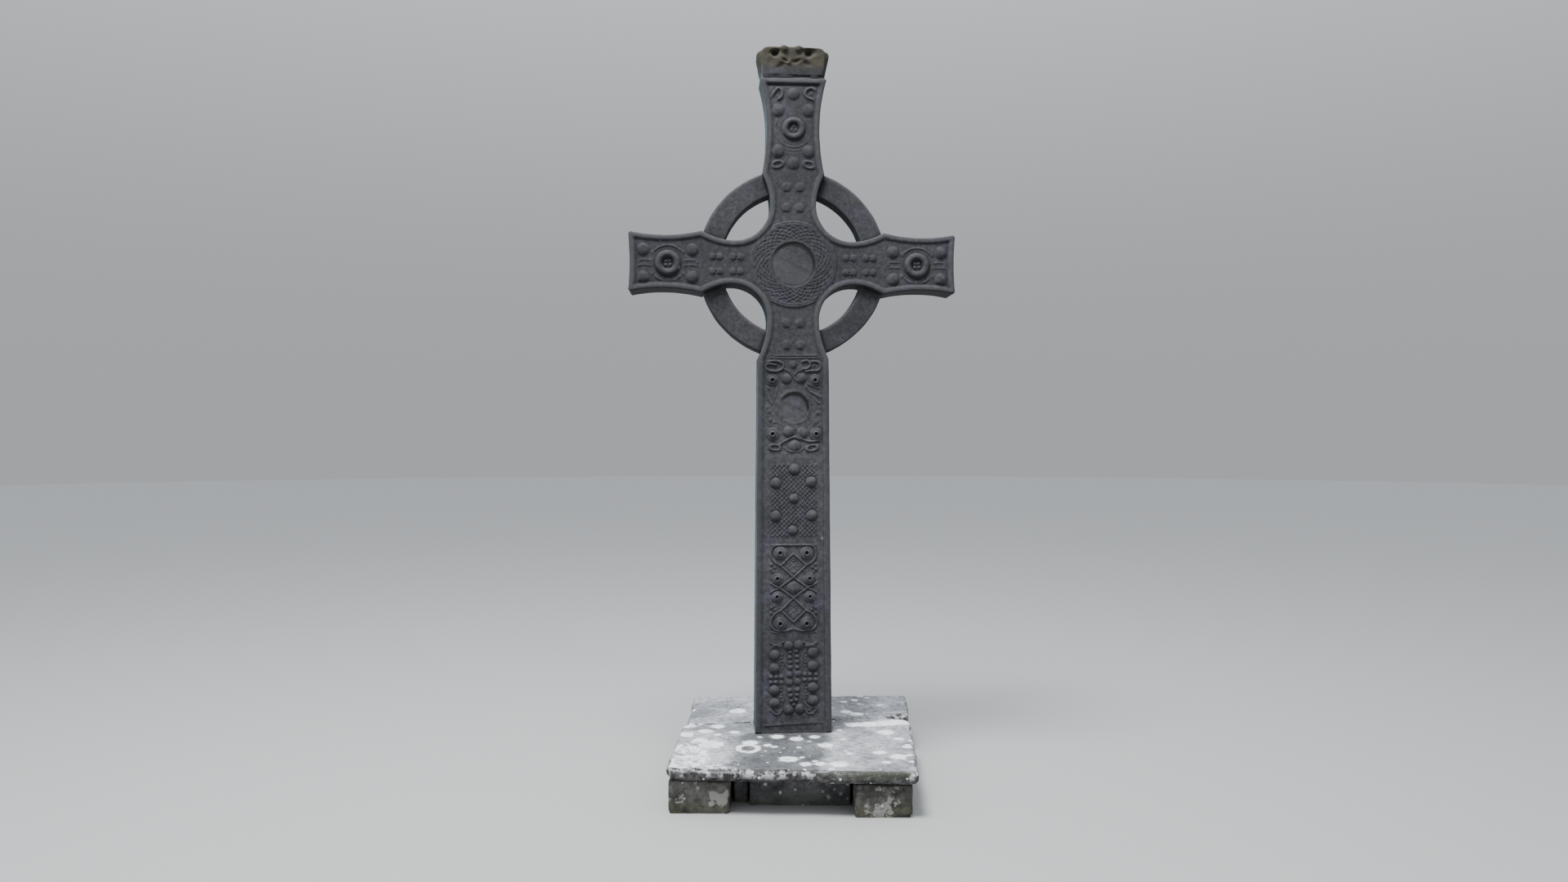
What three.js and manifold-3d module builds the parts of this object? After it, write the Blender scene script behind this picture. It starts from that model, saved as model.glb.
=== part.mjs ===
// Ringed stone cross with a separate cap stone, standing on a low box-shaped plinth
// that is put together from corner blocks, upright side slabs and two cover slabs.
//
// Millimetres, +Z up. The carved front looks toward -Y and +X is to its right.
// The origin lies on the ground under the middle of the whole outline.

import * as THREE from 'three';
import { mergeVertices } from 'three/addons/utils/BufferGeometryUtils.js';
import Module from 'manifold-3d';

const wasm = await Module();
wasm.setup();

// Plinth
const plinthHeight = 280;
const coverThickness = 80;
const plinthTurn = THREE.MathUtils.degToRad(-4.5);
const bedGap = 0.3;
const jointGap = 0.3;

// Cross, heights from its own foot
const crossHeight = 4318;
const footThickness = 296;
const topThickness = 210;
const headCentre = 3092;
const footHalf = 254;
const shaftTop = 2460;
const shaftTopHalf = 236;

// Head: necks, shoulders and ends of the arms
const armpitRadius = 234;
const armpitHeight = 379;
const lowerNeckHalf = 173;
const upperNeckHalf = 154;
const sideNeckHalf = 145;
const armReach = 1083;
const armEndHalf = 199;
const armWaistHalf = 177;
const sideShoulderReach = 602;
const sideShoulderHalf = 207;
const upperShoulderHalf = 209;
const upperShoulderHeight = 585;
const upperWaistHalf = 177;
const upperEndHalf = 223;
const endHollow = 16;
const cornerCut = 14;

// Ring behind the arms
const ringOuter = 628;
const ringInner = 473;
const ringDepth = 190;

// Roll moulding round the edge and the field that it frames
const rollWidth = 44;
const rollRound = 15;
const fieldSink = 14;
const fieldInset = 22;

// Centre roundel
const roundelHeight = headCentre - 10;
const roundelRadius = 285;
const roundelRise = 6;
const eyeRadius = 145;
const eyeDepth = 34;

// Smaller hollow disc in the top panel of the shaft
const smallEyeHeight = 2139;
const smallEyeRadius = 97;
const smallEyeDepth = 24;

// Cap stone
const capHeight = 206;
const capFootHalf = 214;
const capHeadHalf = 246;
const capPlateFootHalf = 208;
const capPlateHeadHalf = 222;
const capBodyDepth = 168;
const capPlateRise = 26;

const stone = {
  cross: new THREE.MeshStandardMaterial({ color: 0x4b4d55, roughness: 0.9, metalness: 0 }),
  cap: new THREE.MeshStandardMaterial({ color: 0x4e4d47, roughness: 0.92, metalness: 0 }),
  cover: new THREE.MeshStandardMaterial({ color: 0xa6a8ab, roughness: 0.95, metalness: 0 }),
  block: new THREE.MeshStandardMaterial({ color: 0x66655f, roughness: 0.95, metalness: 0 }),
  side: new THREE.MeshStandardMaterial({ color: 0x46464b, roughness: 0.95, metalness: 0 }),
};

// Solids and meshes

function solid(geometry) {
  const bare = geometry.clone();
  bare.deleteAttribute('normal');
  bare.deleteAttribute('uv');
  const merged = mergeVertices(bare, 0.001);
  return new wasm.Manifold(new wasm.Mesh({
    numProp: 3,
    vertProperties: merged.attributes.position.array,
    triVerts: new Uint32Array(merged.index.array),
  }));
}

function geometryOf(body) {
  const mesh = body.getMesh();
  const positions = [];
  for (let vertex = 0; vertex < mesh.numVert; vertex += 1) {
    const start = vertex * mesh.numProp;
    positions.push(...mesh.vertProperties.slice(start, start + 3));
  }
  const geometry = new THREE.BufferGeometry();
  geometry.setAttribute('position', new THREE.Float32BufferAttribute(positions, 3));
  geometry.setIndex(Array.from(mesh.triVerts));
  return geometry;
}

function named(name, geometry, material) {
  const mesh = new THREE.Mesh(geometry, material);
  mesh.name = name;
  return mesh;
}

// An outline drawn in X and height, extruded through the thickness about Y = 0.
function slabFrom(shape, thickness, round, options = {}) {
  const geometry = new THREE.ExtrudeGeometry(shape, {
    depth: thickness - 2 * round,
    bevelEnabled: round > 0,
    bevelThickness: round,
    bevelSize: round,
    bevelOffset: -round,
    bevelSegments: 1,
    steps: 1,
    ...options,
  });
  geometry.rotateX(Math.PI / 2);
  geometry.translate(0, thickness / 2 - round, 0);
  return geometry;
}

// Moves every side of a closed outline inward (counter-clockwise outline) by a distance.
function inset(points, distance) {
  return points.map((point, i) => {
    const before = points[(i + points.length - 1) % points.length];
    const after = points[(i + 1) % points.length];
    const first = point.clone().sub(before).normalize();
    const second = after.clone().sub(point).normalize();
    const normal = new THREE.Vector2(-first.y - second.y, first.x + second.x).normalize();
    const reach = distance / Math.max(0.5, normal.x * -first.y + normal.y * first.x);
    return point.clone().addScaledVector(normal, reach);
  });
}

// Cross outline

function crossOutline(cut) {
  const below = headCentre - armpitHeight;
  const above = headCentre + armpitHeight;
  const lowerPit = lowerNeckHalf + armpitRadius;
  const upperPit = upperNeckHalf + armpitRadius;
  const low = headCentre - sideNeckHalf;
  const high = headCentre + sideNeckHalf;
  const armMiddle = (sideShoulderReach + armReach) / 2;
  const armPull = 2 * armWaistHalf - (sideShoulderHalf + armEndHalf) / 2;
  const upperTurn = headCentre + upperShoulderHeight;
  const upperPull = 2 * upperWaistHalf - (upperShoulderHalf + upperEndHalf) / 2;
  const half = new THREE.Path();
  half.moveTo(footHalf, 0);
  half.lineTo(shaftTopHalf, shaftTop);
  half.quadraticCurveTo(lowerNeckHalf, shaftTop + 130, lowerNeckHalf, below);
  half.absarc(lowerPit, below, armpitRadius, Math.PI, Math.PI / 2, true);
  half.quadraticCurveTo(sideShoulderReach - 105, low, sideShoulderReach, headCentre - sideShoulderHalf);
  half.quadraticCurveTo(armMiddle, headCentre - armPull, armReach - cut, headCentre - armEndHalf);
  half.lineTo(armReach, headCentre - armEndHalf + cut);
  half.quadraticCurveTo(armReach - endHollow, headCentre, armReach, headCentre + armEndHalf - cut);
  half.lineTo(armReach - cut, headCentre + armEndHalf);
  half.quadraticCurveTo(armMiddle, headCentre + armPull, sideShoulderReach, headCentre + sideShoulderHalf);
  half.quadraticCurveTo(sideShoulderReach - 105, high, upperPit, high);
  half.absarc(upperPit, above, armpitRadius, Math.PI * 1.5, Math.PI, true);
  half.quadraticCurveTo(upperNeckHalf, upperTurn - 105, upperShoulderHalf, upperTurn);
  half.quadraticCurveTo(upperPull, (upperTurn + crossHeight) / 2, upperEndHalf, crossHeight - cut);
  half.lineTo(upperEndHalf - cut, crossHeight);
  const right = half.getPoints(3);
  const apart = right.filter((point, i) => i === 0 || point.distanceTo(right[i - 1]) > 0.5);
  const left = apart.map((point) => new THREE.Vector2(-point.x, point.y)).reverse();
  return [...apart, ...left];
}

// Carved motifs. Each is a closed solid let a little way into the face at (x, height).

const fieldHalf = footThickness / 2 - fieldSink;
const bedding = 3;
const ringBossHollow = 0.45;
const mainBossRise = 20;
const cornerBossRise = 17;
const knotRadius = 26;
const ridge = 9;
const upperBoss = 3977;
const armBossReach = 823;
const armBossHeight = headCentre - 5;

function onFace(geometry, x, height, side = 1, lift = 0) {
  const turned = geometry.clone();
  turned.rotateX(Math.PI / 2);
  if (side < 0) {
    turned.rotateZ(Math.PI);
  }
  turned.translate(x, -side * (fieldHalf - bedding + lift), height);
  return solid(turned);
}

function dome(x, height, radius, rise, side = 1, around = radius < 45 ? 6 : 8) {
  const ball = new THREE.SphereGeometry(1, around, 4);
  ball.rotateX(Math.PI / 2);
  ball.scale(radius, radius, rise + bedding);
  return onFace(ball, x, height, side);
}

function ringBoss(x, height, outer, inner, rise, side = 1) {
  const around = outer > 60 ? 12 : 8;
  const torus = new THREE.TorusGeometry((outer + inner) / 2, (outer - inner) / 2, 4, around);
  torus.scale(1, 1, 2 * (rise + bedding) / (outer - inner));
  return onFace(torus, x, height, side);
}

function pellet(x, height, radius, around = 5) {
  const point = new THREE.SphereGeometry(1, around, 2);
  point.rotateX(Math.PI / 2);
  point.scale(radius, radius, radius * 0.7 + bedding);
  return onFace(point, x, height);
}

function bar(x0, height0, x1, height1, radius) {
  const length = Math.hypot(x1 - x0, height1 - height0);
  const rod = new THREE.CylinderGeometry(radius, radius, length, 4);
  rod.rotateZ(Math.atan2(x0 - x1, height1 - height0));
  return onFace(rod, (x0 + x1) / 2, (height0 + height1) / 2);
}

// A ridge of square section that follows a curve across the face.
function strand(points, radius, steps, lift = 0) {
  const path = new THREE.CatmullRomCurve3(points.map(([x, y]) => new THREE.Vector3(x, y, 0)));
  const section = new THREE.Shape();
  section.moveTo(radius, 0);
  section.lineTo(0, radius);
  section.lineTo(-radius, 0);
  section.lineTo(0, -radius);
  const rope = new THREE.ExtrudeGeometry(section, { steps, extrudePath: path, curveSegments: 1 });
  return onFace(rope, 0, 0, 1, lift);
}

function arcPoints(x, height, radius, from, to, count) {
  const points = [];
  for (let i = 0; i <= count; i += 1) {
    const angle = THREE.MathUtils.degToRad(from + (to - from) * i / count);
    points.push([x + radius * Math.cos(angle), height + radius * Math.sin(angle)]);
  }
  return points;
}

function arc(x, height, radius, from, to, thickness) {
  return strand(arcPoints(x, height, radius, from, to, 4), thickness, 5);
}

// Carved panels, each a list of solids to join

function armBosses(centreX, centreHeight, ringRadius, spanX, spanHeight, bossRadius) {
  const parts = [ringBoss(centreX, centreHeight, ringRadius, ringRadius * ringBossHollow, mainBossRise)];
  for (const across of [-1, 1]) {
    for (const up of [-1, 1]) {
      parts.push(dome(centreX + across * spanX, centreHeight + up * spanHeight, bossRadius, cornerBossRise));
    }
  }
  return parts;
}

function neckKnots(centreX, centreHeight, spanX, spanHeight) {
  const parts = [];
  for (const across of [-1, 1]) {
    for (const up of [-1, 1]) {
      parts.push(pellet(centreX + across * spanX, centreHeight + up * spanHeight, knotRadius));
    }
  }
  return parts;
}

function headPanels() {
  const parts = armBosses(0, upperBoss, 67, 99, 143, 46);
  parts.push(arc(0, upperBoss, 96, 200, 340, ridge), arc(0, upperBoss, 118, 215, 325, ridge));
  for (const height of [upperBoss + 232, upperBoss - 231]) {
    parts.push(dome(0, height, 42, 15));
    for (const across of [-1, 1]) {
      parts.push(ringBoss(across * 104, height - 6, 36, 12, 10));
    }
  }
  for (const across of [-1, 1]) {
    const arm = across * armBossReach;
    parts.push(...armBosses(arm, armBossHeight, 80, 159, 98, 42));
    parts.push(arc(arm, armBossHeight, 108, 50, 130, ridge), arc(arm, armBossHeight, 108, 230, 310, ridge));
    for (const along of [-1, 1]) {
      parts.push(bar(arm + along * 125, armBossHeight, arm + along * 205, armBossHeight, 12));
    }
    parts.push(...neckKnots(across * 442, headCentre, 70, 44));
  }
  parts.push(...neckKnots(0, headCentre + 430, 46, 71));
  parts.push(...neckKnots(0, headCentre - 479, 45, 80));
  return parts;
}

// Fine plait round the centre: two wavy closed strands that cross on the roundel.
function roundelPlait() {
  const parts = [];
  const middle = (roundelRadius + eyeRadius) / 2;
  const swing = 38;
  const waves = 6;
  for (const phase of [0, Math.PI]) {
    const points = [];
    for (let i = 0; i < waves * 4; i += 1) {
      const angle = i * Math.PI / (waves * 2);
      const radius = middle + swing * Math.sin(waves * angle + phase);
      points.push([radius * Math.cos(angle), roundelHeight + radius * Math.sin(angle)]);
    }
    points.push(points[0]);
    for (let half = 0; half < 2; half += 1) {
      const from = half * waves * 2;
      parts.push(strand(points.slice(from, from + waves * 2 + 1), 10, waves * 2, roundelRise));
    }
  }
  return parts;
}

function discPanel() {
  const parts = [ringBoss(0, smallEyeHeight, 130, smallEyeRadius, 11)];
  parts.push(bar(-190, shaftTop + 4, 190, shaftTop + 4, ridge));
  parts.push(dome(0, 2425, 30, 12));
  parts.push(dome(0, 1885, 42, 15));
  for (const across of [-1, 1]) {
    parts.push(arc(across * 112, 2413, 34, across > 0 ? 150 : 30, across > 0 ? -110 : 290, ridge));
    parts.push(bar(across * 76, 2428, across * 26, 2380, ridge));
    parts.push(ringBoss(across * 144, 2314, 45, 12, 14), dome(across * 46, 2322, 37, 14));
    parts.push(arc(across * 104, 2236, 58, across > 0 ? 20 : 160, across > 0 ? 110 : 70, ridge));
    parts.push(dome(across * 148, 2126, 22, 9), dome(across * 142, 2052, 24, 10));
    parts.push(ringBoss(across * 146, 1962, 50, 12, 15), dome(across * 48, 1974, 41, 15));
    parts.push(bar(across * 30, 1930, across * 96, 1866, ridge));
    parts.push(bar(across * 80, 1896, across * 172, 1868, ridge));
    parts.push(pellet(across * 118, 1858, 20));
  }
  return parts;
}

// Fine mesh: a staggered field of four-sided points with seven bosses set among them.
function meshPanel() {
  const top = 1760;
  const bottom = 1296;
  const reach = 144;
  const across = 5;
  const rows = 15;
  const bosses = [[0, 1740], [-117, 1645], [117, 1645], [0, 1538], [-117, 1423], [117, 1423], [0, 1326]];
  const parts = bosses.map(([x, height]) => dome(x, height, 36, 18));
  const pitch = 2 * reach / (across - 1);
  for (let row = 0; row < rows; row += 1) {
    const odd = row % 2;
    const height = bottom + (top - bottom) * row / (rows - 1);
    for (let column = 0; column < across - odd; column += 1) {
      const x = -reach + (column + odd / 2) * pitch;
      const free = bosses.every(([bossX, bossHeight]) => Math.hypot(x - bossX, height - bossHeight) > 50);
      if (free) {
        parts.push(pellet(x, height, 25, 4));
      }
    }
  }
  return parts;
}

function lozengePanel() {
  const parts = [];
  const crossings = [1172, 1018, 878, 726];
  const half = 84;
  for (let i = 0; i < 3; i += 1) {
    const middle = (crossings[i] + crossings[i + 1]) / 2;
    for (const across of [-1, 1]) {
      parts.push(bar(0, crossings[i], across * half, middle, ridge));
      parts.push(bar(across * half, middle, 0, crossings[i + 1], ridge));
    }
    if (i === 1) {
      parts.push(dome(0, middle, 48, 13));
    } else {
      for (const [x, rise] of [[0, 26], [0, -26], [26, 0], [-26, 0], [0, 0]]) {
        parts.push(pellet(x, middle + rise, 13));
      }
    }
  }
  for (const across of [-1, 1]) {
    for (const [x, height, radius] of [[88, 1182, 47], [108, 1010, 40], [106, 889, 40], [88, 722, 47]]) {
      parts.push(ringBoss(across * x, height, radius, 12, 14));
    }
    parts.push(pellet(across * 136, 1096, 20), pellet(across * 136, 802, 20));
    parts.push(bar(across * half, 1095, across * 150, 1160, ridge));
    parts.push(bar(across * half, 802, across * 150, 740, ridge));
    parts.push(bar(across * 150, 1160, across * 132, 1230, ridge));
    parts.push(bar(across * 150, 740, across * 132, 670, ridge));
  }
  parts.push(bar(-132, 1230, 132, 1230, ridge), bar(-132, 670, 132, 670, ridge));
  return parts;
}

function pelletPanel() {
  const parts = [];
  for (const across of [-1, 1]) {
    for (const height of [510, 431, 286, 205]) {
      parts.push(dome(across * 124, height, 32, 16));
    }
    parts.push(dome(across * 36, 573, 28, 14), dome(across * 38, 156, 29, 14));
    for (const height of [507, 467, 427, 285, 245, 205]) {
      parts.push(pellet(across * 20, height, 15));
    }
    for (const height of [385, 330]) {
      parts.push(pellet(across * 24, height, 19));
      for (const reach of [66, 104, 142]) {
        parts.push(pellet(across * reach, height, 15));
      }
    }
    const inner = across > 0 ? 180 : 0;
    parts.push(arc(across * 124, 470, 76, inner - 60, inner + 60, ridge));
    parts.push(arc(across * 124, 246, 76, inner - 60, inner + 60, ridge));
  }
  return parts;
}

// The back keeps the frame, the roundel and the main bosses, and leaves the panels plain.
function backPanels() {
  const parts = [dome(0, roundelHeight, 118, 34, -1, 12), ringBoss(0, upperBoss, 67, 30, mainBossRise, -1)];
  for (const across of [-1, 1]) {
    parts.push(ringBoss(across * armBossReach, headCentre, 78, 36, mainBossRise, -1));
  }
  for (const middle of [2130, 1530, 950, 360]) {
    parts.push(dome(0, middle, 62, 22, -1));
  }
  return parts;
}

function disc(radius, thickness, height, side, depth, around = 32) {
  const plate = new THREE.CylinderGeometry(radius, radius, thickness, around);
  plate.translate(0, -side * depth, height);
  return solid(plate);
}

function thinned(geometry) {
  const taper = 1 - topThickness / footThickness;
  const place = geometry.attributes.position;
  for (let i = 0; i < place.count; i += 1) {
    place.setY(i, place.getY(i) * (1 - taper * place.getZ(i) / crossHeight));
  }
  return geometry;
}

function crossBody() {
  const square = crossOutline(0);
  const frame = new THREE.Shape(crossOutline(cornerCut));
  frame.holes.push(new THREE.Path(inset(square, rollWidth).reverse()));
  const field = new THREE.Shape(inset(square, fieldInset));
  let body = solid(slabFrom(frame, footThickness, rollRound));
  body = body.add(solid(slabFrom(field, 2 * fieldHalf, 0)));

  const hoop = new THREE.Shape();
  hoop.absarc(0, headCentre, ringOuter, 0, Math.PI * 2, false);
  const eye = new THREE.Path();
  eye.absarc(0, headCentre, ringInner, 0, Math.PI * 2, true);
  hoop.holes.push(eye);
  body = body.add(solid(slabFrom(hoop, ringDepth, 0, { curveSegments: 20 })));

  const raised = 2 * (roundelRise + bedding);
  for (const side of [1, -1]) {
    body = body.add(disc(roundelRadius, raised, roundelHeight, side, fieldHalf - bedding));
  }
  const carved = [
    ...headPanels(),
    ...roundelPlait(),
    ...discPanel(),
    ...meshPanel(),
    ...lozengePanel(),
    ...pelletPanel(),
    ...backPanels(),
  ];
  for (const motif of carved) {
    body = body.add(motif);
  }
  body = body.subtract(disc(eyeRadius, 2 * eyeDepth, roundelHeight, 1, fieldHalf + roundelRise));
  body = body.subtract(disc(smallEyeRadius, 2 * smallEyeDepth, smallEyeHeight, 1, fieldHalf, 24));
  return thinned(geometryOf(body));
}

// Cap stone: a wider middle between a front and a back plate, with two knobs on the front.
function capBody() {
  const shoulder = 30;
  const middle = new THREE.Shape();
  middle.moveTo(-capFootHalf, 0);
  middle.lineTo(capFootHalf, 0);
  middle.lineTo(capHeadHalf, capHeight - 2 * shoulder);
  middle.quadraticCurveTo(capHeadHalf + 6, capHeight - 22, capHeadHalf - shoulder, capHeight - 16);
  middle.lineTo(-capHeadHalf + shoulder, capHeight - 16);
  middle.quadraticCurveTo(-capHeadHalf - 6, capHeight - 22, -capHeadHalf, capHeight - 2 * shoulder);
  const plate = new THREE.Shape();
  plate.moveTo(-capPlateFootHalf, 0);
  plate.lineTo(capPlateFootHalf, 0);
  plate.lineTo(capPlateHeadHalf, capHeight - 70);
  plate.quadraticCurveTo(capPlateHeadHalf, capHeight - 4, capPlateHeadHalf - 46, capHeight);
  plate.lineTo(-capPlateHeadHalf + 46, capHeight);
  plate.quadraticCurveTo(-capPlateHeadHalf, capHeight - 4, -capPlateHeadHalf, capHeight - 70);
  const plateDepth = capBodyDepth + 2 * capPlateRise;
  let body = solid(slabFrom(middle, capBodyDepth, 12, { curveSegments: 3 }));
  body = body.add(solid(slabFrom(plate, plateDepth, 10, { curveSegments: 3 })));
  const face = plateDepth / 2;
  const knob = (x, height, radius, rise) => {
    const ball = new THREE.SphereGeometry(1, 8, 4);
    ball.scale(radius, rise, radius);
    ball.translate(x, 4 - face, height);
    return solid(ball);
  };
  for (const across of [-1, 1]) {
    body = body.add(knob(across * 49 - 12, capHeight - 22, 33, 26));
    body = body.subtract(knob(across * 110 - 8, capHeight - 54, 26, 22));
    body = body.add(knob(across * 66 - 10, capHeight - 88, 40, 14));
  }
  body = body.add(knob(-30, capHeight - 112, 26, 18));
  return geometryOf(body);
}

// Plinth stones. Plans are drawn in the plinth's own turned frame, corners counter-clockwise.

function roughOutline(corners, { cut, step, wobble, seed, straight = [] }) {
  const points = [];
  corners.forEach(([x0, y0], side) => {
    const [x1, y1] = corners[(side + 1) % corners.length];
    const length = Math.hypot(x1 - x0, y1 - y0);
    const steps = Math.max(1, Math.round(length / step));
    const cutShare = Math.min(0.4, cut / length);
    for (let i = 0; i <= steps; i += 1) {
      const along = cutShare + (1 - 2 * cutShare) * i / steps;
      const sway = straight.includes(side) ? 0 : wobble;
      const waver = sway * Math.sin(seed + 7.1 * side + 2.3 * i) * Math.sin(Math.PI * along);
      points.push(new THREE.Vector2(
        x0 + (x1 - x0) * along + waver * (y1 - y0) / length,
        y0 + (y1 - y0) * along - waver * (x1 - x0) / length,
      ));
    }
  });
  return points;
}

function roughStone(corners, bottom, top, edge, finish) {
  const geometry = new THREE.ExtrudeGeometry(new THREE.Shape(roughOutline(corners, finish)), {
    depth: top - bottom - 2 * edge,
    bevelThickness: edge,
    bevelSize: edge,
    bevelOffset: -edge,
    bevelSegments: 1,
  });
  geometry.translate(0, 0, bottom + edge);
  return geometry;
}

const slabFinish = { cut: 30, step: 210, wobble: 7, seed: 2 };
const blockFinish = { cut: 16, step: 200, wobble: 4, seed: 3 };
const sideFinish = { cut: 8, step: 700, wobble: 3, seed: 4 };

const coverBottom = plinthHeight - coverThickness;
const coverEdge = 16;
const coverLeft = -744;
const coverFrontLeft = -894;
const coverFrontRight = -964;
const coverRightFront = 740;
const coverRightBack = 860;
const coverBackLeft = 862;
const coverBackRight = 928;
const jointLeft = 60;
const jointRight = 272;
const breakReach = 668;

// Right-hand edge of the cover at a given depth into the plinth
function coverRight(depth) {
  const share = (depth - coverFrontRight) / (coverBackRight - coverFrontRight);
  return coverRightFront + share * (coverRightBack - coverRightFront);
}

function frontCover() {
  const corners = [
    [coverLeft, coverFrontLeft],
    [coverRightFront, coverFrontRight],
    [coverRight(205), 205],
    [breakReach, jointRight],
    [coverLeft, jointLeft],
  ];
  const finish = { ...slabFinish, straight: [2, 3] };
  const slab = solid(roughStone(corners, coverBottom, plinthHeight, coverEdge, finish));
  const broken = new THREE.BoxGeometry(190, 300, 90);
  broken.rotateY(THREE.MathUtils.degToRad(24));
  broken.translate(coverLeft + 6, coverFrontLeft + 110, coverBottom - 18);
  return geometryOf(slab.subtract(solid(broken)));
}

function backCover() {
  const slope = (jointRight - jointLeft) / (breakReach - coverLeft);
  const corners = [
    [coverLeft + 28, jointLeft + jointGap + 28 * slope],
    [breakReach, jointRight + jointGap],
    [breakReach + 8, jointRight + 56],
    [coverRight(374), 374],
    [coverRightBack, coverBackRight],
    [coverLeft + 6, coverBackLeft],
  ];
  return roughStone(corners, coverBottom, plinthHeight, coverEdge, { ...slabFinish, straight: [0, 1, 2] });
}

function rectangle(x0, x1, y0, y1, slant = 0) {
  return [[x0, y0], [x1, y0 + slant], [x1, y1 + slant], [x0, y1]];
}

const blockTop = coverBottom - bedGap;
const frontFaceLeft = -865;
const frontFaceRight = -926;
const blockDepth = 250;
const sideSlab = 82;

function plinthStones() {
  const group = new THREE.Group();
  group.rotation.z = plinthTurn;
  const corners = {
    corner_block_front_left: rectangle(-734, -363, frontFaceLeft, frontFaceLeft + blockDepth),
    corner_block_front_right: rectangle(364, 711, frontFaceRight, frontFaceRight + blockDepth),
    corner_block_back_left: rectangle(-732, -372, 590, 590 + blockDepth),
    corner_block_back_right: rectangle(470, 822, 640, 640 + blockDepth),
  };
  const sides = {
    side_slab_front: rectangle(-259, 358, -712, -712 + sideSlab),
    packing_stone_front: rectangle(-356, -264, -668, -558),
    side_slab_left: rectangle(-700, -700 + sideSlab, frontFaceLeft + blockDepth + 7, 583),
    side_slab_right: [[640, -669], [640 + sideSlab, -669], [786, 633], [786 - sideSlab, 633]],
    side_slab_back: rectangle(-365, 463, 700, 700 + sideSlab, 40),
  };
  for (const [name, plan] of Object.entries(corners)) {
    group.add(named(name, roughStone(plan, 0, blockTop, 12, blockFinish), stone.block));
  }
  for (const [name, plan] of Object.entries(sides)) {
    group.add(named(name, roughStone(plan, 0, blockTop, 6, sideFinish), stone.side));
  }
  group.add(named('cover_slab_front', frontCover(), stone.cover));
  group.add(named('cover_slab_back', backCover(), stone.cover));
  return group;
}

// The whole memorial, brought to its origin

const memorial = new THREE.Group();
memorial.add(plinthStones());

const cross = named('cross', crossBody(), stone.cross);
cross.position.z = plinthHeight + bedGap;
memorial.add(cross);

const cap = named('cap_stone', capBody(), stone.cap);
cap.position.z = cross.position.z + crossHeight + bedGap;
memorial.add(cap);

memorial.updateMatrixWorld(true);
const extent = new THREE.Box3().setFromObject(memorial, true);
memorial.position.x = -(extent.min.x + extent.max.x) / 2;
memorial.position.y = -(extent.min.y + extent.max.y) / 2;

export default memorial;
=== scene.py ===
"""Looks of the ringed stone cross and its slab-built plinth.

Lengths on the carved faces are millimetres, X across the face and H up from the foot
of the cross. Everything that leaves a builder is in metres, in the frame of the model.
"""

import itertools
import math

import bmesh
import bpy
import numpy as np
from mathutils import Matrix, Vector
from mathutils.geometry import delaunay_2d_cdt
from mathutils.kdtree import KDTree


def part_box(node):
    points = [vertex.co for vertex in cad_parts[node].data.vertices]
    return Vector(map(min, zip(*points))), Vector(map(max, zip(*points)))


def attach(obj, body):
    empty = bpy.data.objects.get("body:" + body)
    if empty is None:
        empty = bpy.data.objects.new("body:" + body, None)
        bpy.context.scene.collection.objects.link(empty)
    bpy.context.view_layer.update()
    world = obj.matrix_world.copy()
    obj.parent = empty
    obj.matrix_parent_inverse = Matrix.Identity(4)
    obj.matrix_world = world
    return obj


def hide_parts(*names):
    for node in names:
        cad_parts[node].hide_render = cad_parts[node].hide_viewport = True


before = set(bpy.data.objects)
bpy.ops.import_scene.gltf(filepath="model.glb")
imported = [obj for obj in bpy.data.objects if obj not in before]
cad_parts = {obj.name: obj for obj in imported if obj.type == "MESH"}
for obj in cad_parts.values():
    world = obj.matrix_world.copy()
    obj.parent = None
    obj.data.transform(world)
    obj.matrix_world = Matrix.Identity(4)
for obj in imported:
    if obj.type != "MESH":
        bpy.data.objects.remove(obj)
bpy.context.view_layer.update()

bl_info = {
    "name": "Ringed cross memorial",
    "version": (1, 0, 0),
    "blender": (4, 5, 0),
    "location": "3D View > Sidebar > Memorial",
    "description": "Carved ringed cross with a cap stone on a slab-built plinth",
    "category": "Add Mesh",
}

# The cross: two values from the frame in metres, the rest in millimetres

MM = 0.001
FOOT_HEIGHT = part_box("cross")[0].z
CROSS_HEIGHT = 4318.0
FOOT_THICKNESS = 296.0
TOP_THICKNESS = 210.0
FIELD_HALF = 134.0
MID_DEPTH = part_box("cross")[0].y + FOOT_THICKNESS / 2 * MM

HEAD_CENTRE = 3092.0
ARMPIT_RADIUS = 234.0
ARMPIT_HEIGHT = 379.0
LOWER_NECK = 173.0
UPPER_NECK = 154.0
SIDE_NECK = 145.0
ARM_REACH = 1083.0
ROUNDEL_HEIGHT = HEAD_CENTRE - 10
ROUNDEL_RADIUS = 285.0
EYE_RADIUS = 145.0
EYE_DEPTH = 36.0
SMALL_EYE = (6.0, 2139.0)
SMALL_EYE_RADIUS = 97.0
SMALL_EYE_DEPTH = 30.0
RING_OUTER = 628.0
RING_INNER = 473.0
RING_HALF_DEPTH = 95.0
ROLL_WIDTH = 42.0
FOOT_HALF = 254.0
SHAFT_TOP = (236, 2460)
ARM_SHOULDER = (602, 207)
ARM_END_HALF = 199.0
ARM_WAIST_HALF = 151.0
TOP_HALF = 223.0
TOP_WAIST_HALF = 138.0
CORNER_CUT = 14.0

# Wear with painted light and shade, meshes and noise: voxels, reaches and corners in metres

SUNK_LIFT = 1.3
SMOOTH_ANGLE = math.radians(60)
RELIEF_LIGHT_AND_WEAR_ROUNDS = 6
STONE_VOXEL = 0.010
CAP_VOXEL = 0.006
BED_REACH = 0.012
CAP_CORNER = 0.045
PLATE_DEPTH = 0.035
NOISE_TABLE = 4096
NOISE_SHIFT = 57.3
NOISE_PRIMES = (73856093, 19349663, 83492791)


# Noise and curves

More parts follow.
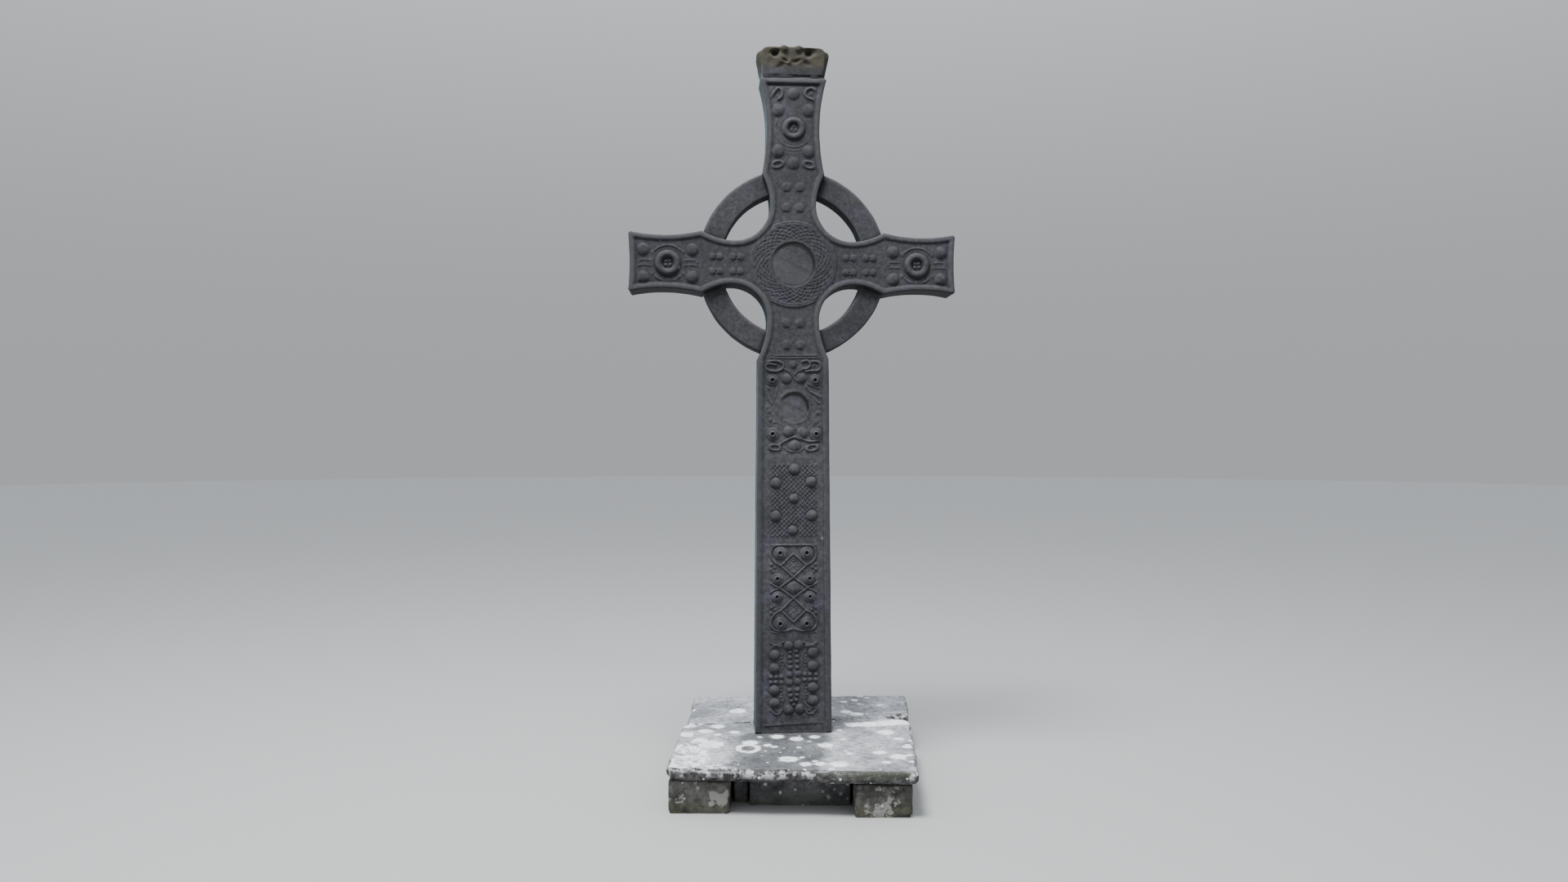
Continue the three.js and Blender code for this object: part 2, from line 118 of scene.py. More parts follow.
def weather(points, size, seed, octaves=3):
    """Smooth noise from -1 to 1; size is the width of its largest lumps."""
    total = np.zeros(len(points))
    weight = 0.0
    for octave in range(octaves):
        table = np.random.default_rng(seed + octave).uniform(-1, 1, NOISE_TABLE)
        spot = points / size * 2 ** octave + NOISE_SHIFT
        cell = np.floor(spot).astype(np.int64)
        part = spot - cell
        part = part * part * (3 - 2 * part)
        for corner in itertools.product((0, 1), repeat=3):
            index = np.bitwise_xor.reduce((cell + corner) * NOISE_PRIMES, axis=1)
            share = np.prod(np.where(np.array(corner) == 1, part, 1 - part), axis=1)
            total += share * table[index & (NOISE_TABLE - 1)] / 2 ** octave
        weight += 1 / 2 ** octave
    return total / weight


def smooth_step(low, high, value):
    """Rises softly from 0 at low to 1 at high, and falls where high is the smaller one."""
    share = np.clip((value - low) / (high - low), 0, 1)
    return share * share * (3 - 2 * share)


def swell(share, power):
    """A rounded profile: 1 in the middle, and 0 from a share of 1 on."""
    return np.clip(1 - share ** 2, 0, 1) ** power


def curve_through(points, steps=6):
    """Points on a smooth curve through the given ones."""
    given = np.array(points, float)
    ends = np.vstack([2 * given[0] - given[1], given, 2 * given[-1] - given[-2]])
    found = []
    for i in range(1, len(ends) - 2):
        before, start, end, after = ends[i - 1:i + 3]
        for share in np.arange(steps) / steps:
            found.append(0.5 * (2 * start + (end - before) * share
                                + (2 * before - 5 * start + 4 * end - after) * share ** 2
                                + (3 * start - before - 3 * end + after) * share ** 3))
    found.append(given[-1])
    return np.array(found)


def arc_points(x, h, radius, start, end, count=12):
    """Points on an arc round X and H, from one angle in degrees to the other."""
    turn = np.radians(np.linspace(start, end, count + 1))
    return np.column_stack([x + radius * np.cos(turn), h + radius * np.sin(turn)])


# The outline of the cross

def quadratic(start, pull, end, count):
    """Points on a curve that is pulled towards the middle one, without its start."""
    share = np.linspace(0, 1, count + 1)[1:, None]
    start, pull, end = np.array(start), np.array(pull), np.array(end)
    return (1 - share) ** 2 * start + 2 * share * (1 - share) * pull + share ** 2 * end


def level_row(half, count, h):
    """Points on a level line from one corner to the other, without the corners."""
    xs = np.linspace(half, -half, count)[1:-1]
    return np.column_stack([xs, np.full(len(xs), h)])


def cross_outline(spacing):
    """The whole outline, counter-clockwise from the right of the foot."""
    below, above = HEAD_CENTRE - ARMPIT_HEIGHT, HEAD_CENTRE + ARMPIT_HEIGHT
    low, high = HEAD_CENTRE - SIDE_NECK, HEAD_CENTRE + SIDE_NECK
    shoulder, shoulder_half = ARM_SHOULDER
    arm_middle, tip = (shoulder + ARM_REACH) / 2, ARM_REACH - CORNER_CUT
    tip_half = ARM_END_HALF - CORNER_CUT
    upper_turn = HEAD_CENTRE + 585
    lower_pit, upper_pit = LOWER_NECK + ARMPIT_RADIUS, UPPER_NECK + ARMPIT_RADIUS
    top_corner = TOP_HALF - CORNER_CUT
    half = [np.array([[FOOT_HALF, 0.0]])]

    def line(end):
        start = half[-1][-1]
        count = max(1, round(math.dist(start, end) / spacing))
        half.append(start + np.linspace(0, 1, count + 1)[1:, None] * (np.array(end) - start))

    def bend(pull, end):
        count = max(2, round(math.dist(half[-1][-1], end) / spacing))
        half.append(quadratic(half[-1][-1], pull, end, count))

    def pit(x, h, start, end):
        count = max(4, round(ARMPIT_RADIUS * math.pi / 2 / spacing))
        half.append(arc_points(x, h, ARMPIT_RADIUS, start, end, count)[1:])

    line(SHAFT_TOP)
    bend((LOWER_NECK, 2590), (LOWER_NECK, below))
    pit(lower_pit, below, 180, 90)
    bend((497, low), (shoulder, HEAD_CENTRE - shoulder_half))
    bend((arm_middle, HEAD_CENTRE - ARM_WAIST_HALF), (tip, HEAD_CENTRE - ARM_END_HALF))
    line((ARM_REACH, HEAD_CENTRE - tip_half))
    bend((ARM_REACH - 16, HEAD_CENTRE), (ARM_REACH, HEAD_CENTRE + tip_half))
    line((tip, HEAD_CENTRE + ARM_END_HALF))
    bend((arm_middle, HEAD_CENTRE + ARM_WAIST_HALF), (shoulder, HEAD_CENTRE + shoulder_half))
    bend((497, high), (upper_pit, high))
    pit(upper_pit, above, 270, 180)
    bend((UPPER_NECK, upper_turn - 105), (209, upper_turn))
    bend((TOP_WAIST_HALF, (upper_turn + CROSS_HEIGHT) / 2), (TOP_HALF, CROSS_HEIGHT - CORNER_CUT))
    line((top_corner, CROSS_HEIGHT))
    right = np.vstack(half)
    left = right[::-1] * (-1, 1)
    return np.vstack([right, level_row(top_corner, 37, CROSS_HEIGHT), left, level_row(-FOOT_HALF, 45, 0.0)])


def outline_distance(outline):
    """Returns a function that gives the distance of points from the outline, its foot left out."""
    dense = []
    for start, end in zip(outline, np.roll(outline, -1, axis=0)):
        if max(start[1], end[1]) < 1:
            continue
        count = max(1, round(math.dist(start, end) / 2))
        dense.append(start + np.arange(count)[:, None] / count * (end - start))
    dense = np.vstack(dense)
    tree = KDTree(len(dense))
    for i, (x, h) in enumerate(dense):
        tree.insert((x, h, 0), i)
    tree.balance()
    return lambda points: np.array([tree.find((x, h, 0))[2] for x, h in points])


# Carving

class Relief:
    """Heights of a carved face in millimetres over its field, at fixed points."""

    def __init__(self, points):
        self.x, self.h = points[:, 0], points[:, 1]
        self.z = np.zeros(len(points))
        self.floor = 0.0
        self.side = 1

    def both_sides(self):
        """Gives -1 and then 1, and mirrors what is carved meanwhile to that side."""
        for side in (-1, 1):
            self.side = side
            yield side

    def around(self, x, h, reach, stretch=1.0, turn=0.0):
        """The points round a spot, and their distances from it, shortened along the stretch."""
        dx, dh = self.x - self.side * x, self.h - h
        index = np.flatnonzero((abs(dx) < reach) & (abs(dh) < reach))
        c, s = math.cos(math.radians(self.side * turn)), math.sin(math.radians(self.side * turn))
        along = dx[index] * c + dh[index] * s
        across = dh[index] * c - dx[index] * s
        return index, np.hypot(along / stretch, across)

    def sink(self, x0, x1, h0, h1, depth, corner=20):
        """A shallow panel with soft edges and rounded corners, on whose floor the carving goes on."""
        half_x, half_h = (x1 - x0) / 2 - corner, (h1 - h0) / 2 - corner
        away_x = np.maximum(abs(self.x - (x0 + x1) / 2) - half_x, 0)
        away_h = np.maximum(abs(self.h - (h0 + h1) / 2) - half_h, 0)
        self.z -= depth * smooth_step(0, 7, corner - np.hypot(away_x, away_h))
        self.floor = -depth

    def add_over(self, index, height):
        """Raises the points to a height over the floor, where they don't stand higher yet."""
        base = self.z[index]
        lift = SUNK_LIFT if self.floor < 0 else 1.0
        self.z[index] = np.where(height > 0, np.maximum(base, self.floor + lift * height), base)

    def moat(self, index, outside):
        """A narrow dip in the ground round a boss."""
        low = self.z[index] < self.floor + 3
        self.z[index] -= 4.5 * np.exp(-((outside - 5) / 5) ** 2) * low

    def dome(self, x, h, radius, rise, stretch=1.0, turn=0.0):
        index, away = self.around(x, h, radius * 2, stretch, turn)
        self.moat(index, away - radius)
        self.add_over(index, 1.1 * rise * swell(away / radius / 1.05, 0.6))

    def ring_boss(self, x, h, outer, inner, rise, stretch=1.0, turn=0.0):
        """A boss with a wide hole, whose floor stands a little over the ground."""
        index, away = self.around(x, h, outer * 1.6, stretch, turn)
        middle, half = (outer + inner) / 2, (outer - inner) / 2
        self.moat(index, away - outer)
        hole = np.where(away < middle, 0.12, 0.0)
        self.add_over(index, rise * np.maximum(swell((away - middle) / half, 0.55), hole))

    def drilled_boss(self, x, h, radius, rise, hole):
        """A boss with a hole bored into its middle, and a lip round the hole."""
        index, away = self.around(x, h, radius * 1.6)
        self.moat(index, away - radius)
        body = swell(away / radius, 0.5)
        lip = 0.22 * np.exp(-((away - hole * 1.5) / 6) ** 2)
        lip -= 0.14 * np.exp(-((away - hole * 2.3) / 5) ** 2)
        bore = 0.85 * smooth_step(hole + 2, hole - 5, away)
        least = 0.02 * (body > 0)
        self.add_over(index, rise * np.maximum(body + (lip - bore) * (away < radius), least))

    def hollow(self, x, h, radius, depth, stretch=1.0):
        index, away = self.around(x, h, radius * 2.2, stretch)
        self.z[index] -= depth * swell(away / radius, 1)

    def strand(self, points, half, rise, straight=False):
        """A rounded band along a line, which is curved unless it is called straight."""
        path = np.array(points, float) if straight else curve_through(points)
        path = path * (self.side, 1)
        low, high = path.min(0) - half, path.max(0) + half
        inside = (self.x > low[0]) & (self.x < high[0]) & (self.h > low[1]) & (self.h < high[1])
        index = np.flatnonzero(inside)
        if not len(index):
            return
        spots = np.column_stack([self.x[index], self.h[index]])
        away = np.full(len(index), np.inf)
        for start, end in zip(path[:-1], path[1:]):
            step = end - start
            share = np.clip((spots - start) @ step / (step @ step), 0, 1)
            away = np.minimum(away, np.linalg.norm(spots - start - share[:, None] * step, axis=1))
        self.add_over(index, 1.2 * rise * swell(away / half, 0.6))

    def disc(self, x, h, radius, depth):
        """A round sunk disc with a steep rim and a slightly domed floor."""
        away = np.hypot(self.x - x, self.h - h)
        floor = -depth + 5 * swell(away / radius, 1)
        share = smooth_step(radius + 1, radius - 2, away)
        self.z = self.z * (1 - share) + floor * share


def roll_profile(away):
    """Height over the field of the moulding that runs round the edge, and of the groove inside it."""
    half = ROLL_WIDTH / 2
    ridge = swell((away - half) / half, 0.5)
    height = np.where(away < half, 12 * ridge - 1, 11 * ridge)
    return height - 8 * np.exp(-((away - ROLL_WIDTH - 4) / 6) ** 2)


def framed(carved, away, reach):
    """Joins a carved face with the moulding round its edge."""
    roll = roll_profile(away)
    return np.where(away < ROLL_WIDTH + reach, np.maximum(roll, carved * (away > ROLL_WIDTH)), carved)


def flat_knot(face, x, h):
    """A small knot: two lumps side by side with slits over and under them."""
    for across in (-23, 23):
        face.dome(x + across, h, 24, 9)
    face.hollow(x, h - 25, 10, 13, stretch=3.6)
    face.hollow(x, h + 25, 8, 9, stretch=3.2)
    face.hollow(x, h, 7, 9)


def round_knot(face, x, h):
    """A single worn knot with a deep slit under it."""
    face.dome(x, h, 31, 9)
    face.hollow(x, h - 35, 11, 14, stretch=1.9)
    for across in (-33, 33):
        face.hollow(x + across, h - 6, 8, 8)


def carve_upper_arm(face):
    """A great ring boss among small ones, with hooked strands above it."""
    face.sink(-160, 160, 3690, 4262, 10, corner=34)
    face.ring_boss(3, 3979, 79, 31, 25)
    for turn in (90, 210, 330):
        spot = arc_points(3, 3979, 17, turn, turn, 1)[0]
        face.dome(*spot, 13, 12)
    face.strand(arc_points(3, 3979, 97, 0, 360, 36), 8, 7, straight=True)
    face.strand(arc_points(3, 3979, 122, 150, 390, 30), 9, 9, straight=True)
    face.strand(arc_points(3, 3979, 146, 238, 302), 8, 8, straight=True)
    face.strand(arc_points(3, 3979, 168, 244, 296), 8, 8, straight=True)
    face.strand(arc_points(3, 3979, 122, 62, 118), 8, 7, straight=True)
    for _ in face.both_sides():
        face.dome(102, 4100, 47, 19)
        face.dome(102, 3828, 47, 20)
        face.dome(124, 3998, 19, 10)
        face.dome(120, 3946, 22, 10, stretch=1.5, turn=-60)
        face.dome(128, 4036, 14, 8)
        face.ring_boss(104, 3741, 32, 10, 15, stretch=1.7, turn=-14)
        face.dome(104, 3741, 8, 7, stretch=1.7, turn=-14)
    face.dome(2, 4208, 44, 18)
    face.dome(2, 3749, 45, 18)
    hook = [(-146, 4186), (-122, 4222), (-96, 4246), (-74, 4226), (-76, 4192), (-98, 4172)]
    face.strand(hook, 13, 14)
    face.dome(-100, 4190, 17, 12)
    other = [(150, 4232), (122, 4250), (90, 4238), (78, 4208), (98, 4184), (140, 4170)]
    face.strand(other, 13, 14)
    face.dome(122, 4212, 18, 11)
    face.strand([(86, 4172), (112, 4160), (140, 4150)], 8, 8)


def carve_side_arm(face, side):
    """A ring boss between four domes; side is -1 on the left arm and 1 on the right one."""
    x0, x1 = sorted((side * 612, side * 1032))
    face.sink(x0, x1, 2944, 3234, 9, corner=26)
    centre = side * 824
    height = 3081
    face.ring_boss(centre, height, 87, 34, 26)
    for dx, dh in ((-14, -12), (16, -10), (12, 15), (-13, 14)):
        face.dome(centre + dx, height + dh, 14, 13)
    face.strand(arc_points(centre, height, 101, 0, 360, 36), 6, 6, straight=True)
    face.strand(arc_points(centre, height, 118, 44, 136), 9, 10, straight=True)
    face.strand(arc_points(centre, height, 118, 226, 314), 9, 10, straight=True)
    face.dome(centre + 4, height - 112, 17, 11, stretch=2.2)
    face.dome(centre - 4, height + 116, 15, 9, stretch=2.4)
    for along, up in ((-160, 88), (-160, -93), (160, 88), (160, -90)):
        face.dome(centre + along, height + up, 44, 19)
    for along in (-1, 1):
        row = centre + along * 150
        for up in (-17, 17):
            face.strand([(row - 42, height + up), (row, height + up + 5), (row + 42, height + up)], 8, 9)
        face.dome(centre + along * 116, height, 13, 9)
        face.dome(row + along * 40, height + 4, 14, 10)
        for up in (-62, 62):
            face.dome(centre + along * 100, height + up * 1.15, 14, 10, stretch=1.6, turn=along * up)
    face.floor = 0.0
    for middle in (side * 508, side * 374):
        flat_knot(face, middle, height + 46)
        flat_knot(face, middle, height - 50)


def carve_centre(face):
    """Roundel of fine plait between two borders, round a smooth hollow eye."""
    away = np.hypot(face.x, face.h - ROUNDEL_HEIGHT)
    inside = away < ROUNDEL_RADIUS + 4
    turn = np.arctan2(face.h - ROUNDEL_HEIGHT, face.x)
    band = (away - EYE_RADIUS - 12) / (ROUNDEL_RADIUS - EYE_RADIUS - 34)
    waves = turn * 14 / math.pi
    u, v = waves + band * 4, waves - band * 4
    over = np.cos(math.pi * np.floor(u)) * np.cos(math.pi * np.floor(v))
    ridge_u = np.abs(np.sin(math.pi * u)) ** 0.7
    ridge_v = np.abs(np.sin(math.pi * v)) ** 0.7
    plait = np.maximum(ridge_u * np.where(over > 0, 1.0, 0.55), ridge_v * np.where(over > 0, 0.55, 1.0))
    inner = smooth_step(0, 0.08, band) * smooth_step(1, 0.92, band)
    height = 3.0 + inner * (10.5 * plait - 7.5)
    border = np.exp(-((away - ROUNDEL_RADIUS + 5) / 5) ** 2)
    border += np.exp(-((away - ROUNDEL_RADIUS + 20) / 5) ** 2)
    height = height + 4 * border + 2.5 * np.exp(-((away - EYE_RADIUS - 9) / 8) ** 2)
    height *= smooth_step(ROUNDEL_RADIUS + 4, ROUNDEL_RADIUS - 2, away)
    face.z = np.where(inside, np.maximum(face.z, height), face.z)
    face.disc(0, ROUNDEL_HEIGHT, EYE_RADIUS, EYE_DEPTH)


def carve_necks(face):
    """Two worn knots side by side, twice above the roundel and twice below it."""
    for h in (3590, 3455, 2692, 2548):
        for side in (-1, 1):
            round_knot(face, side * 45, h)


def carve_disc_panel(face):
    """A smooth sunk disc with drilled bosses and loops above and below it."""
    face.floor = 0.0
    face.strand([(-120, 2478), (188, 2481)], 5, 4, straight=True)
    face.strand([(-150, 2463), (188, 2466)], 5, 4, straight=True)
    face.sink(-198, 198, 1834, 2452, 10, corner=24)
    x, h = SMALL_EYE
    face.ring_boss(x, h, 127, 86, 10)
    face.strand(arc_points(x, h, 146, 196, 342, 24), 8, 8, straight=True)
    loop = [(-176, 2436), (-120, 2444), (-72, 2428), (-70, 2396), (-112, 2376), (-168, 2384),
            (-182, 2412), (-160, 2424), (-116, 2416)]
    face.strand(loop, 11, 13)
    face.strand([(58, 2440), (92, 2446), (112, 2420), (92, 2394), (62, 2392)], 11, 13)
    face.strand([(118, 2440), (160, 2440), (182, 2414), (166, 2384), (118, 2380), (84, 2376)], 11, 13)
    face.dome(134, 2414, 17, 11)
    face.dome(-2, 2420, 31, 15)
    face.dome(-40, 2444, 12, 8)
    face.strand([(-64, 2392), (-30, 2376), (0, 2340), (24, 2310)], 9, 11)
    face.strand([(60, 2384), (30, 2374), (8, 2352)], 9, 10)
    for cx, ch in ((-138, 2317), (144, 2317)):
        face.drilled_boss(cx, ch, 46, 19, hole=11)
    for cx, ch in ((-44, 2326), (51, 2330)):
        face.dome(cx, ch, 39, 18)
    face.strand([(-182, 2268), (-166, 2206), (-140, 2160)], 10, 11)
    face.strand([(-176, 2272), (-146, 2250), (-132, 2200), (-138, 2166)], 9, 10)
    face.strand([(-104, 2262), (-118, 2226), (-122, 2196)], 8, 9)
    face.strand([(82, 2278), (116, 2240), (158, 2218), (184, 2198)], 10, 11)
    face.strand([(100, 2290), (140, 2272), (176, 2262)], 9, 10)
    face.strand([(138, 2206), (156, 2176), (182, 2160)], 9, 10)
    for cx, ch, radius in ((-158, 2112, 20), (-150, 2056, 22), (162, 2104, 22), (150, 2044, 26),
                           (178, 2140, 14), (-176, 2140, 14), (-128, 2040, 14)):
        face.dome(cx, ch, radius, 11)
    face.strand([(-186, 2090), (-176, 2040), (-150, 2014)], 8, 9)
    face.strand([(192, 2080), (184, 2030), (160, 2014)], 8, 9)
    for cx, ch in ((-138, 1962), (152, 1962)):
        face.drilled_boss(cx, ch, 49, 20, hole=11)
    for cx, ch in ((-33, 1978), (60, 1972)):
        face.dome(cx, ch, 40, 18)
    face.strand([(-96, 1890), (-50, 1920), (2, 1942), (40, 1930)], 10, 12)
    face.strand([(24, 1952), (66, 1926), (112, 1914), (170, 1920)], 10, 12)
    face.dome(8, 1886, 43, 18)
    face.ring_boss(-122, 1874, 27, 9, 14, stretch=2.0, turn=-6)
    face.dome(-122, 1874, 8, 8, stretch=2)
    face.ring_boss(124, 1872, 27, 9, 14, stretch=2.2, turn=12)
    face.dome(124, 1872, 8, 8, stretch=2)
    face.strand([(-60, 1876), (-30, 1852), (30, 1846), (64, 1866)], 8, 10)
    face.disc(x, h, SMALL_EYE_RADIUS, SMALL_EYE_DEPTH)


def carve_net_panel(face):
    """Close plait of two families of slanting strands, with seven bosses on it."""
    x0, x1, h0, h1 = -156, 156, 1284, 1768
    face.sink(x0, x1, h0, h1, 8, corner=10)
    inside = (face.x > x0 + 4) & (face.x < x1 - 4) & (face.h > h0 + 4) & (face.h < h1 - 4)
    index = np.flatnonzero(inside)
    x, h = face.x[index], face.h[index]
    pitch = 21.5
    u = (x + h) / math.sqrt(2) / pitch + 0.5
    v = (x - h) / math.sqrt(2) / pitch + 0.5
    over = (np.floor(u) + np.floor(v)) % 2
    ridge_u = np.abs(np.sin(math.pi * u)) ** 0.8
    ridge_v = np.abs(np.sin(math.pi * v)) ** 0.8
    height = np.maximum(ridge_u * np.where(over > 0, 1.0, 0.4), ridge_v * np.where(over > 0, 0.4, 1.0))
    face.add_over(index, 10.5 * height + 0.01)
    for cx, ch, radius in ((6, 1730, 39), (-117, 1640, 38), (118, 1646, 38), (3, 1538, 33),
                           (-117, 1422, 38), (120, 1426, 38), (-5, 1328, 34)):
        index, away = face.around(cx, ch, radius + 9)
        face.z[index] = np.where(away < radius + 6, face.floor, face.z[index])
        face.dome(cx, ch, radius, 20)


def carve_lozenge_panel(face):
    """Three lozenges one above the other between drilled bosses, with small pellets in two of them."""
    face.sink(-162, 162, 652, 1240, 10, corner=20)
    bar = dict(half=7.5, rise=12, straight=True)
    crossings = (1176, 1020, 884, 724)
    for top, bottom, wide in zip(crossings, crossings[1:], (84, 92, 82)):
        middle = (top + bottom) / 2
        for _ in face.both_sides():
            face.strand([(0, top), (wide, middle), (0, bottom)], **bar)
            face.strand([(0, top - 26), (wide - 27, middle), (0, bottom + 26)], 5.5, 9, straight=True)
    face.dome(0, (crossings[1] + crossings[2]) / 2, 46, 17, stretch=1.15)
    for middle in (1098, 804):
        for dx, dh in ((0, 30), (-20, 12), (20, 12), (-38, -2), (38, -2), (0, -4), (-20, -20),
                       (20, -22), (0, -36)):
            face.dome(dx, middle + dh, 11, 10)
    for _ in face.both_sides():
        border = [(10, 1233), (70, 1234), (128, 1226), (148, 1188), (146, 1150), (118, 1118), (84, 1098)]
        face.strand(border, 8, 12)
        lower = [(84, 804), (122, 782), (148, 744), (150, 706), (118, 674), (60, 668), (8, 682)]
        face.strand(lower, 8, 12)
        face.strand([(10, 1214), (36, 1200), (52, 1168), (44, 1140)], 6, 8)
        face.strand([(40, 760), (50, 730), (36, 700)], 6, 8)
        face.strand([(92, 952), (130, 968), (152, 984)], **bar)
        face.strand([(92, 950), (130, 936), (152, 920)], **bar)
        for x, h, radius in ((88, 1180, 47), (107, 1012, 41), (109, 893, 41), (87, 716, 47)):
            face.drilled_boss(x, h, radius + 2, 20, hole=radius * 0.24)
        for x, h, radius in ((124, 1086, 14), (146, 1104, 15), (148, 1072, 16), (132, 1056, 12),
                             (120, 808, 14), (146, 822, 14), (148, 786, 16), (128, 830, 11)):
            face.dome(x, h, radius, 12)
    for x in np.arange(-140, 141, 20):
        face.dome(x, 1233, 9, 14)
    face.strand([(-150, 662), (-60, 654), (0, 676), (60, 654), (150, 660)], 7, 9)


def carve_pellet_panel(face):
    """Pellets of many sizes inside two pairs of curved strands."""
    face.sink(-162, 162, 106, 606, 10, corner=24)
    left = ((-126, 509), (-126, 424), (-126, 281), (-126, 197))
    right = ((127, 525), (127, 437), (127, 295), (127, 211))
    for x, h in left + right:
        face.dome(x, h, 38, 20)
    for x, h, radius in ((-33, 571, 31), (33, 575, 33), (-33, 152, 32), (40, 156, 33)):
        face.dome(x, h, 1.1 * radius, 19)
    for x, h, radius in ((-22, 528, 12), (20, 534, 12), (-24, 496, 14), (22, 500, 14), (-22, 463, 15),
                         (24, 467, 15), (-20, 430, 16), (24, 430, 15), (-24, 382, 21), (32, 388, 21),
                         (-26, 330, 23), (26, 334, 23), (-26, 280, 16), (24, 282, 17), (-20, 244, 14),
                         (22, 248, 14), (-14, 210, 13), (18, 216, 13), (0, 185, 10)):
        face.dome(x, h, 1.22 * radius, 15)
    for h in (368, 332):
        for x in (-150, -116, -80):
            face.dome(x, h, 20, 14)
    for h in (382, 347):
        for x in (74, 110, 146):
            face.dome(x, h, 19, 14)
    for side in face.both_sides():
        up = 8 * (side + 1)
        outer = [(148, 556 + up / 2), (108, 564), (74, 536), (58, 492), (62, 446), (86, 404 + up / 2)]
        face.strand(outer, 7, 9)
        for k in range(5):
            face.dome(78 + 3 * (k % 2), 512 - 22 * k + up, 12, 11)
        inner = [(84, 322 + up / 2), (60, 286), (58, 236), (78, 190), (118, 158), (148, 168)]
        face.strand(inner, 7, 9)
        for k in range(5):
            face.dome(79 + 3 * (k % 2), 300 - 22 * k + up, 12, 11)
        face.strand([(150, 590), (118, 574), (92, 582), (66, 596)], 9, 11)
        face.dome(90, 572, 22, 14)
        face.dome(132, 574, 18, 12)
        face.strand([(150, 150), (122, 124), (92, 128), (78, 152)], 9, 11)
        face.dome(100, 146, 14, 11)
        face.strand([(70, 122), (40, 116), (0, 126)], 6, 7)
    face.floor = 0.0
    face.strand([(-206, 50), (-60, 56), (60, 62), (206, 66)], 8, 4, straight=True)


def front_relief(points, away):
    """Heights over the field of the whole carved front."""
    face = Relief(points)
    carve_upper_arm(face)
    carve_side_arm(face, -1)
    carve_side_arm(face, 1)
    carve_necks(face)
    carve_centre(face)
    carve_disc_panel(face)
    carve_net_panel(face)
    carve_lozenge_panel(face)
    carve_pellet_panel(face)
    height = framed(face.z, away, 16)
    roll = roll_profile(away)
    groove = (roll < -0.2) & (away > 30)
    height = np.where(groove, np.minimum(height, np.maximum(face.z - 3, roll)), height)
    top_band = smooth_step(4272, 4284, points[:, 1])
    height = np.maximum(height, 13 * top_band * smooth_step(0, 26, away))
    step = np.exp(-((points[:, 1] - 4264) / 7) ** 2) * (away > ROLL_WIDTH - 6)
    return height - 6 * step


def back_relief(points, away):
    """The unseen back keeps the frame, roundel and main bosses, and leaves the panels plain."""
    face = Relief(points)
    for h0, h1 in ((1836, 2452), (1284, 1768), (652, 1240), (108, 606)):
        face.sink(-158, 158, h0, h1, 5)
        face.dome(0, (h0 + h1) / 2, 60, 20)
    face.floor = 0.0
    face.ring_boss(0, 3977, 67, 30, 20)
    for _ in face.both_sides():
        face.ring_boss(823, HEAD_CENTRE, 78, 35, 20)
        for along in (-158, 158):
            for up in (-92, 92):
                face.dome(823 + along, HEAD_CENTRE + up, 36, 10)
        for up in (-143, 143):
            face.dome(99, 3977 + up, 38, 10)
    span = np.hypot(points[:, 0], points[:, 1] - ROUNDEL_HEIGHT)
    rim = 7 * smooth_step(ROUNDEL_RADIUS + 4, ROUNDEL_RADIUS - 4, span)
    face.z = np.maximum(face.z, rim - 5 * smooth_step(262, 254, span) * smooth_step(148, 156, span))
    face.dome(0, ROUNDEL_HEIGHT, 122, 34)
    return framed(face.z, away, 14)


# Meshes

def hex_grid(x0, x1, h0, h1, pitch):
    """Points over a rectangle, in rows that stand half a pitch apart in turn."""
    rows = []
    step = pitch * math.sqrt(3) / 2
    for row, h in enumerate(np.arange(h0, h1, step)):
        xs = np.arange(x0 + pitch / 2 * (row % 2), x1, pitch)
        rows.append(np.column_stack([xs, np.full(len(xs), h)]))
    return np.vstack(rows)


def inset_rows(outline, distances, distance_to):
    """Points that follow the outline at the given distances inside it."""
    ahead = np.roll(outline, -1, axis=0) - np.roll(outline, 1, axis=0)
    ahead /= np.linalg.norm(ahead, axis=1)[:, None]
    inward = np.column_stack([-ahead[:, 1], ahead[:, 0]])
    rows = []
    for distance in distances:
        row = outline + inward * distance
        rows.append(row[distance_to(row) > distance - 0.8])
    return np.vstack(rows)


def inside_outline(points, outline):
    """True for the points inside a closed outline."""
    x, h = points[:, 0], points[:, 1]
    odd = np.zeros(len(points), bool)
    for (x0, h0), (x1, h1) in zip(outline, np.roll(outline, -1, axis=0)):
        if h0 == h1:
            continue
        crosses = (h0 > h) != (h1 > h)
        odd ^= crosses & (x < x0 + (h - h0) * (x1 - x0) / (h1 - h0))
    return odd


def face_triangles(outline, spots):
    """Triangles over an outline and the spots inside it; the outline's points come first."""
    count = len(outline)
    points = [Vector(point) for point in outline] + [Vector(point) for point in spots]
    edges = [(i, (i + 1) % count) for i in range(count)]
    places, _, faces, origins, _, _ = delaunay_2d_cdt(points, edges, [], 1, 1e-3)
    place_of = np.full(len(points), -1)
    for new, old in enumerate(origins):
        for source in old:
            place_of[source] = new
    found = np.array([place[:] for place in places])
    return found, np.array([face[:] for face in faces]), place_of[:count]


def linked_object(name, data):
    obj = bpy.data.objects.new(name, data)
    bpy.context.scene.collection.objects.link(obj)
    return obj


def mesh_object(name, vertices, faces):
    mesh = bpy.data.meshes.new(name)
    mesh.from_pydata([tuple(vertex) for vertex in vertices], [], [tuple(face) for face in faces])
    mesh.update()
    return linked_object(name, mesh)


def only(obj):
    """Selects one object and makes it active, with all else deselected."""
    bpy.ops.object.select_all(action="DESELECT")
    obj.select_set(True)
    bpy.context.view_layer.objects.active = obj


def apply_modifier(obj, kind, **values):
    only(obj)
    modifier = obj.modifiers.new(kind.lower(), kind)
    for key, value in values.items():
        setattr(modifier, key, value)
    bpy.ops.object.modifier_apply(modifier=modifier.name)


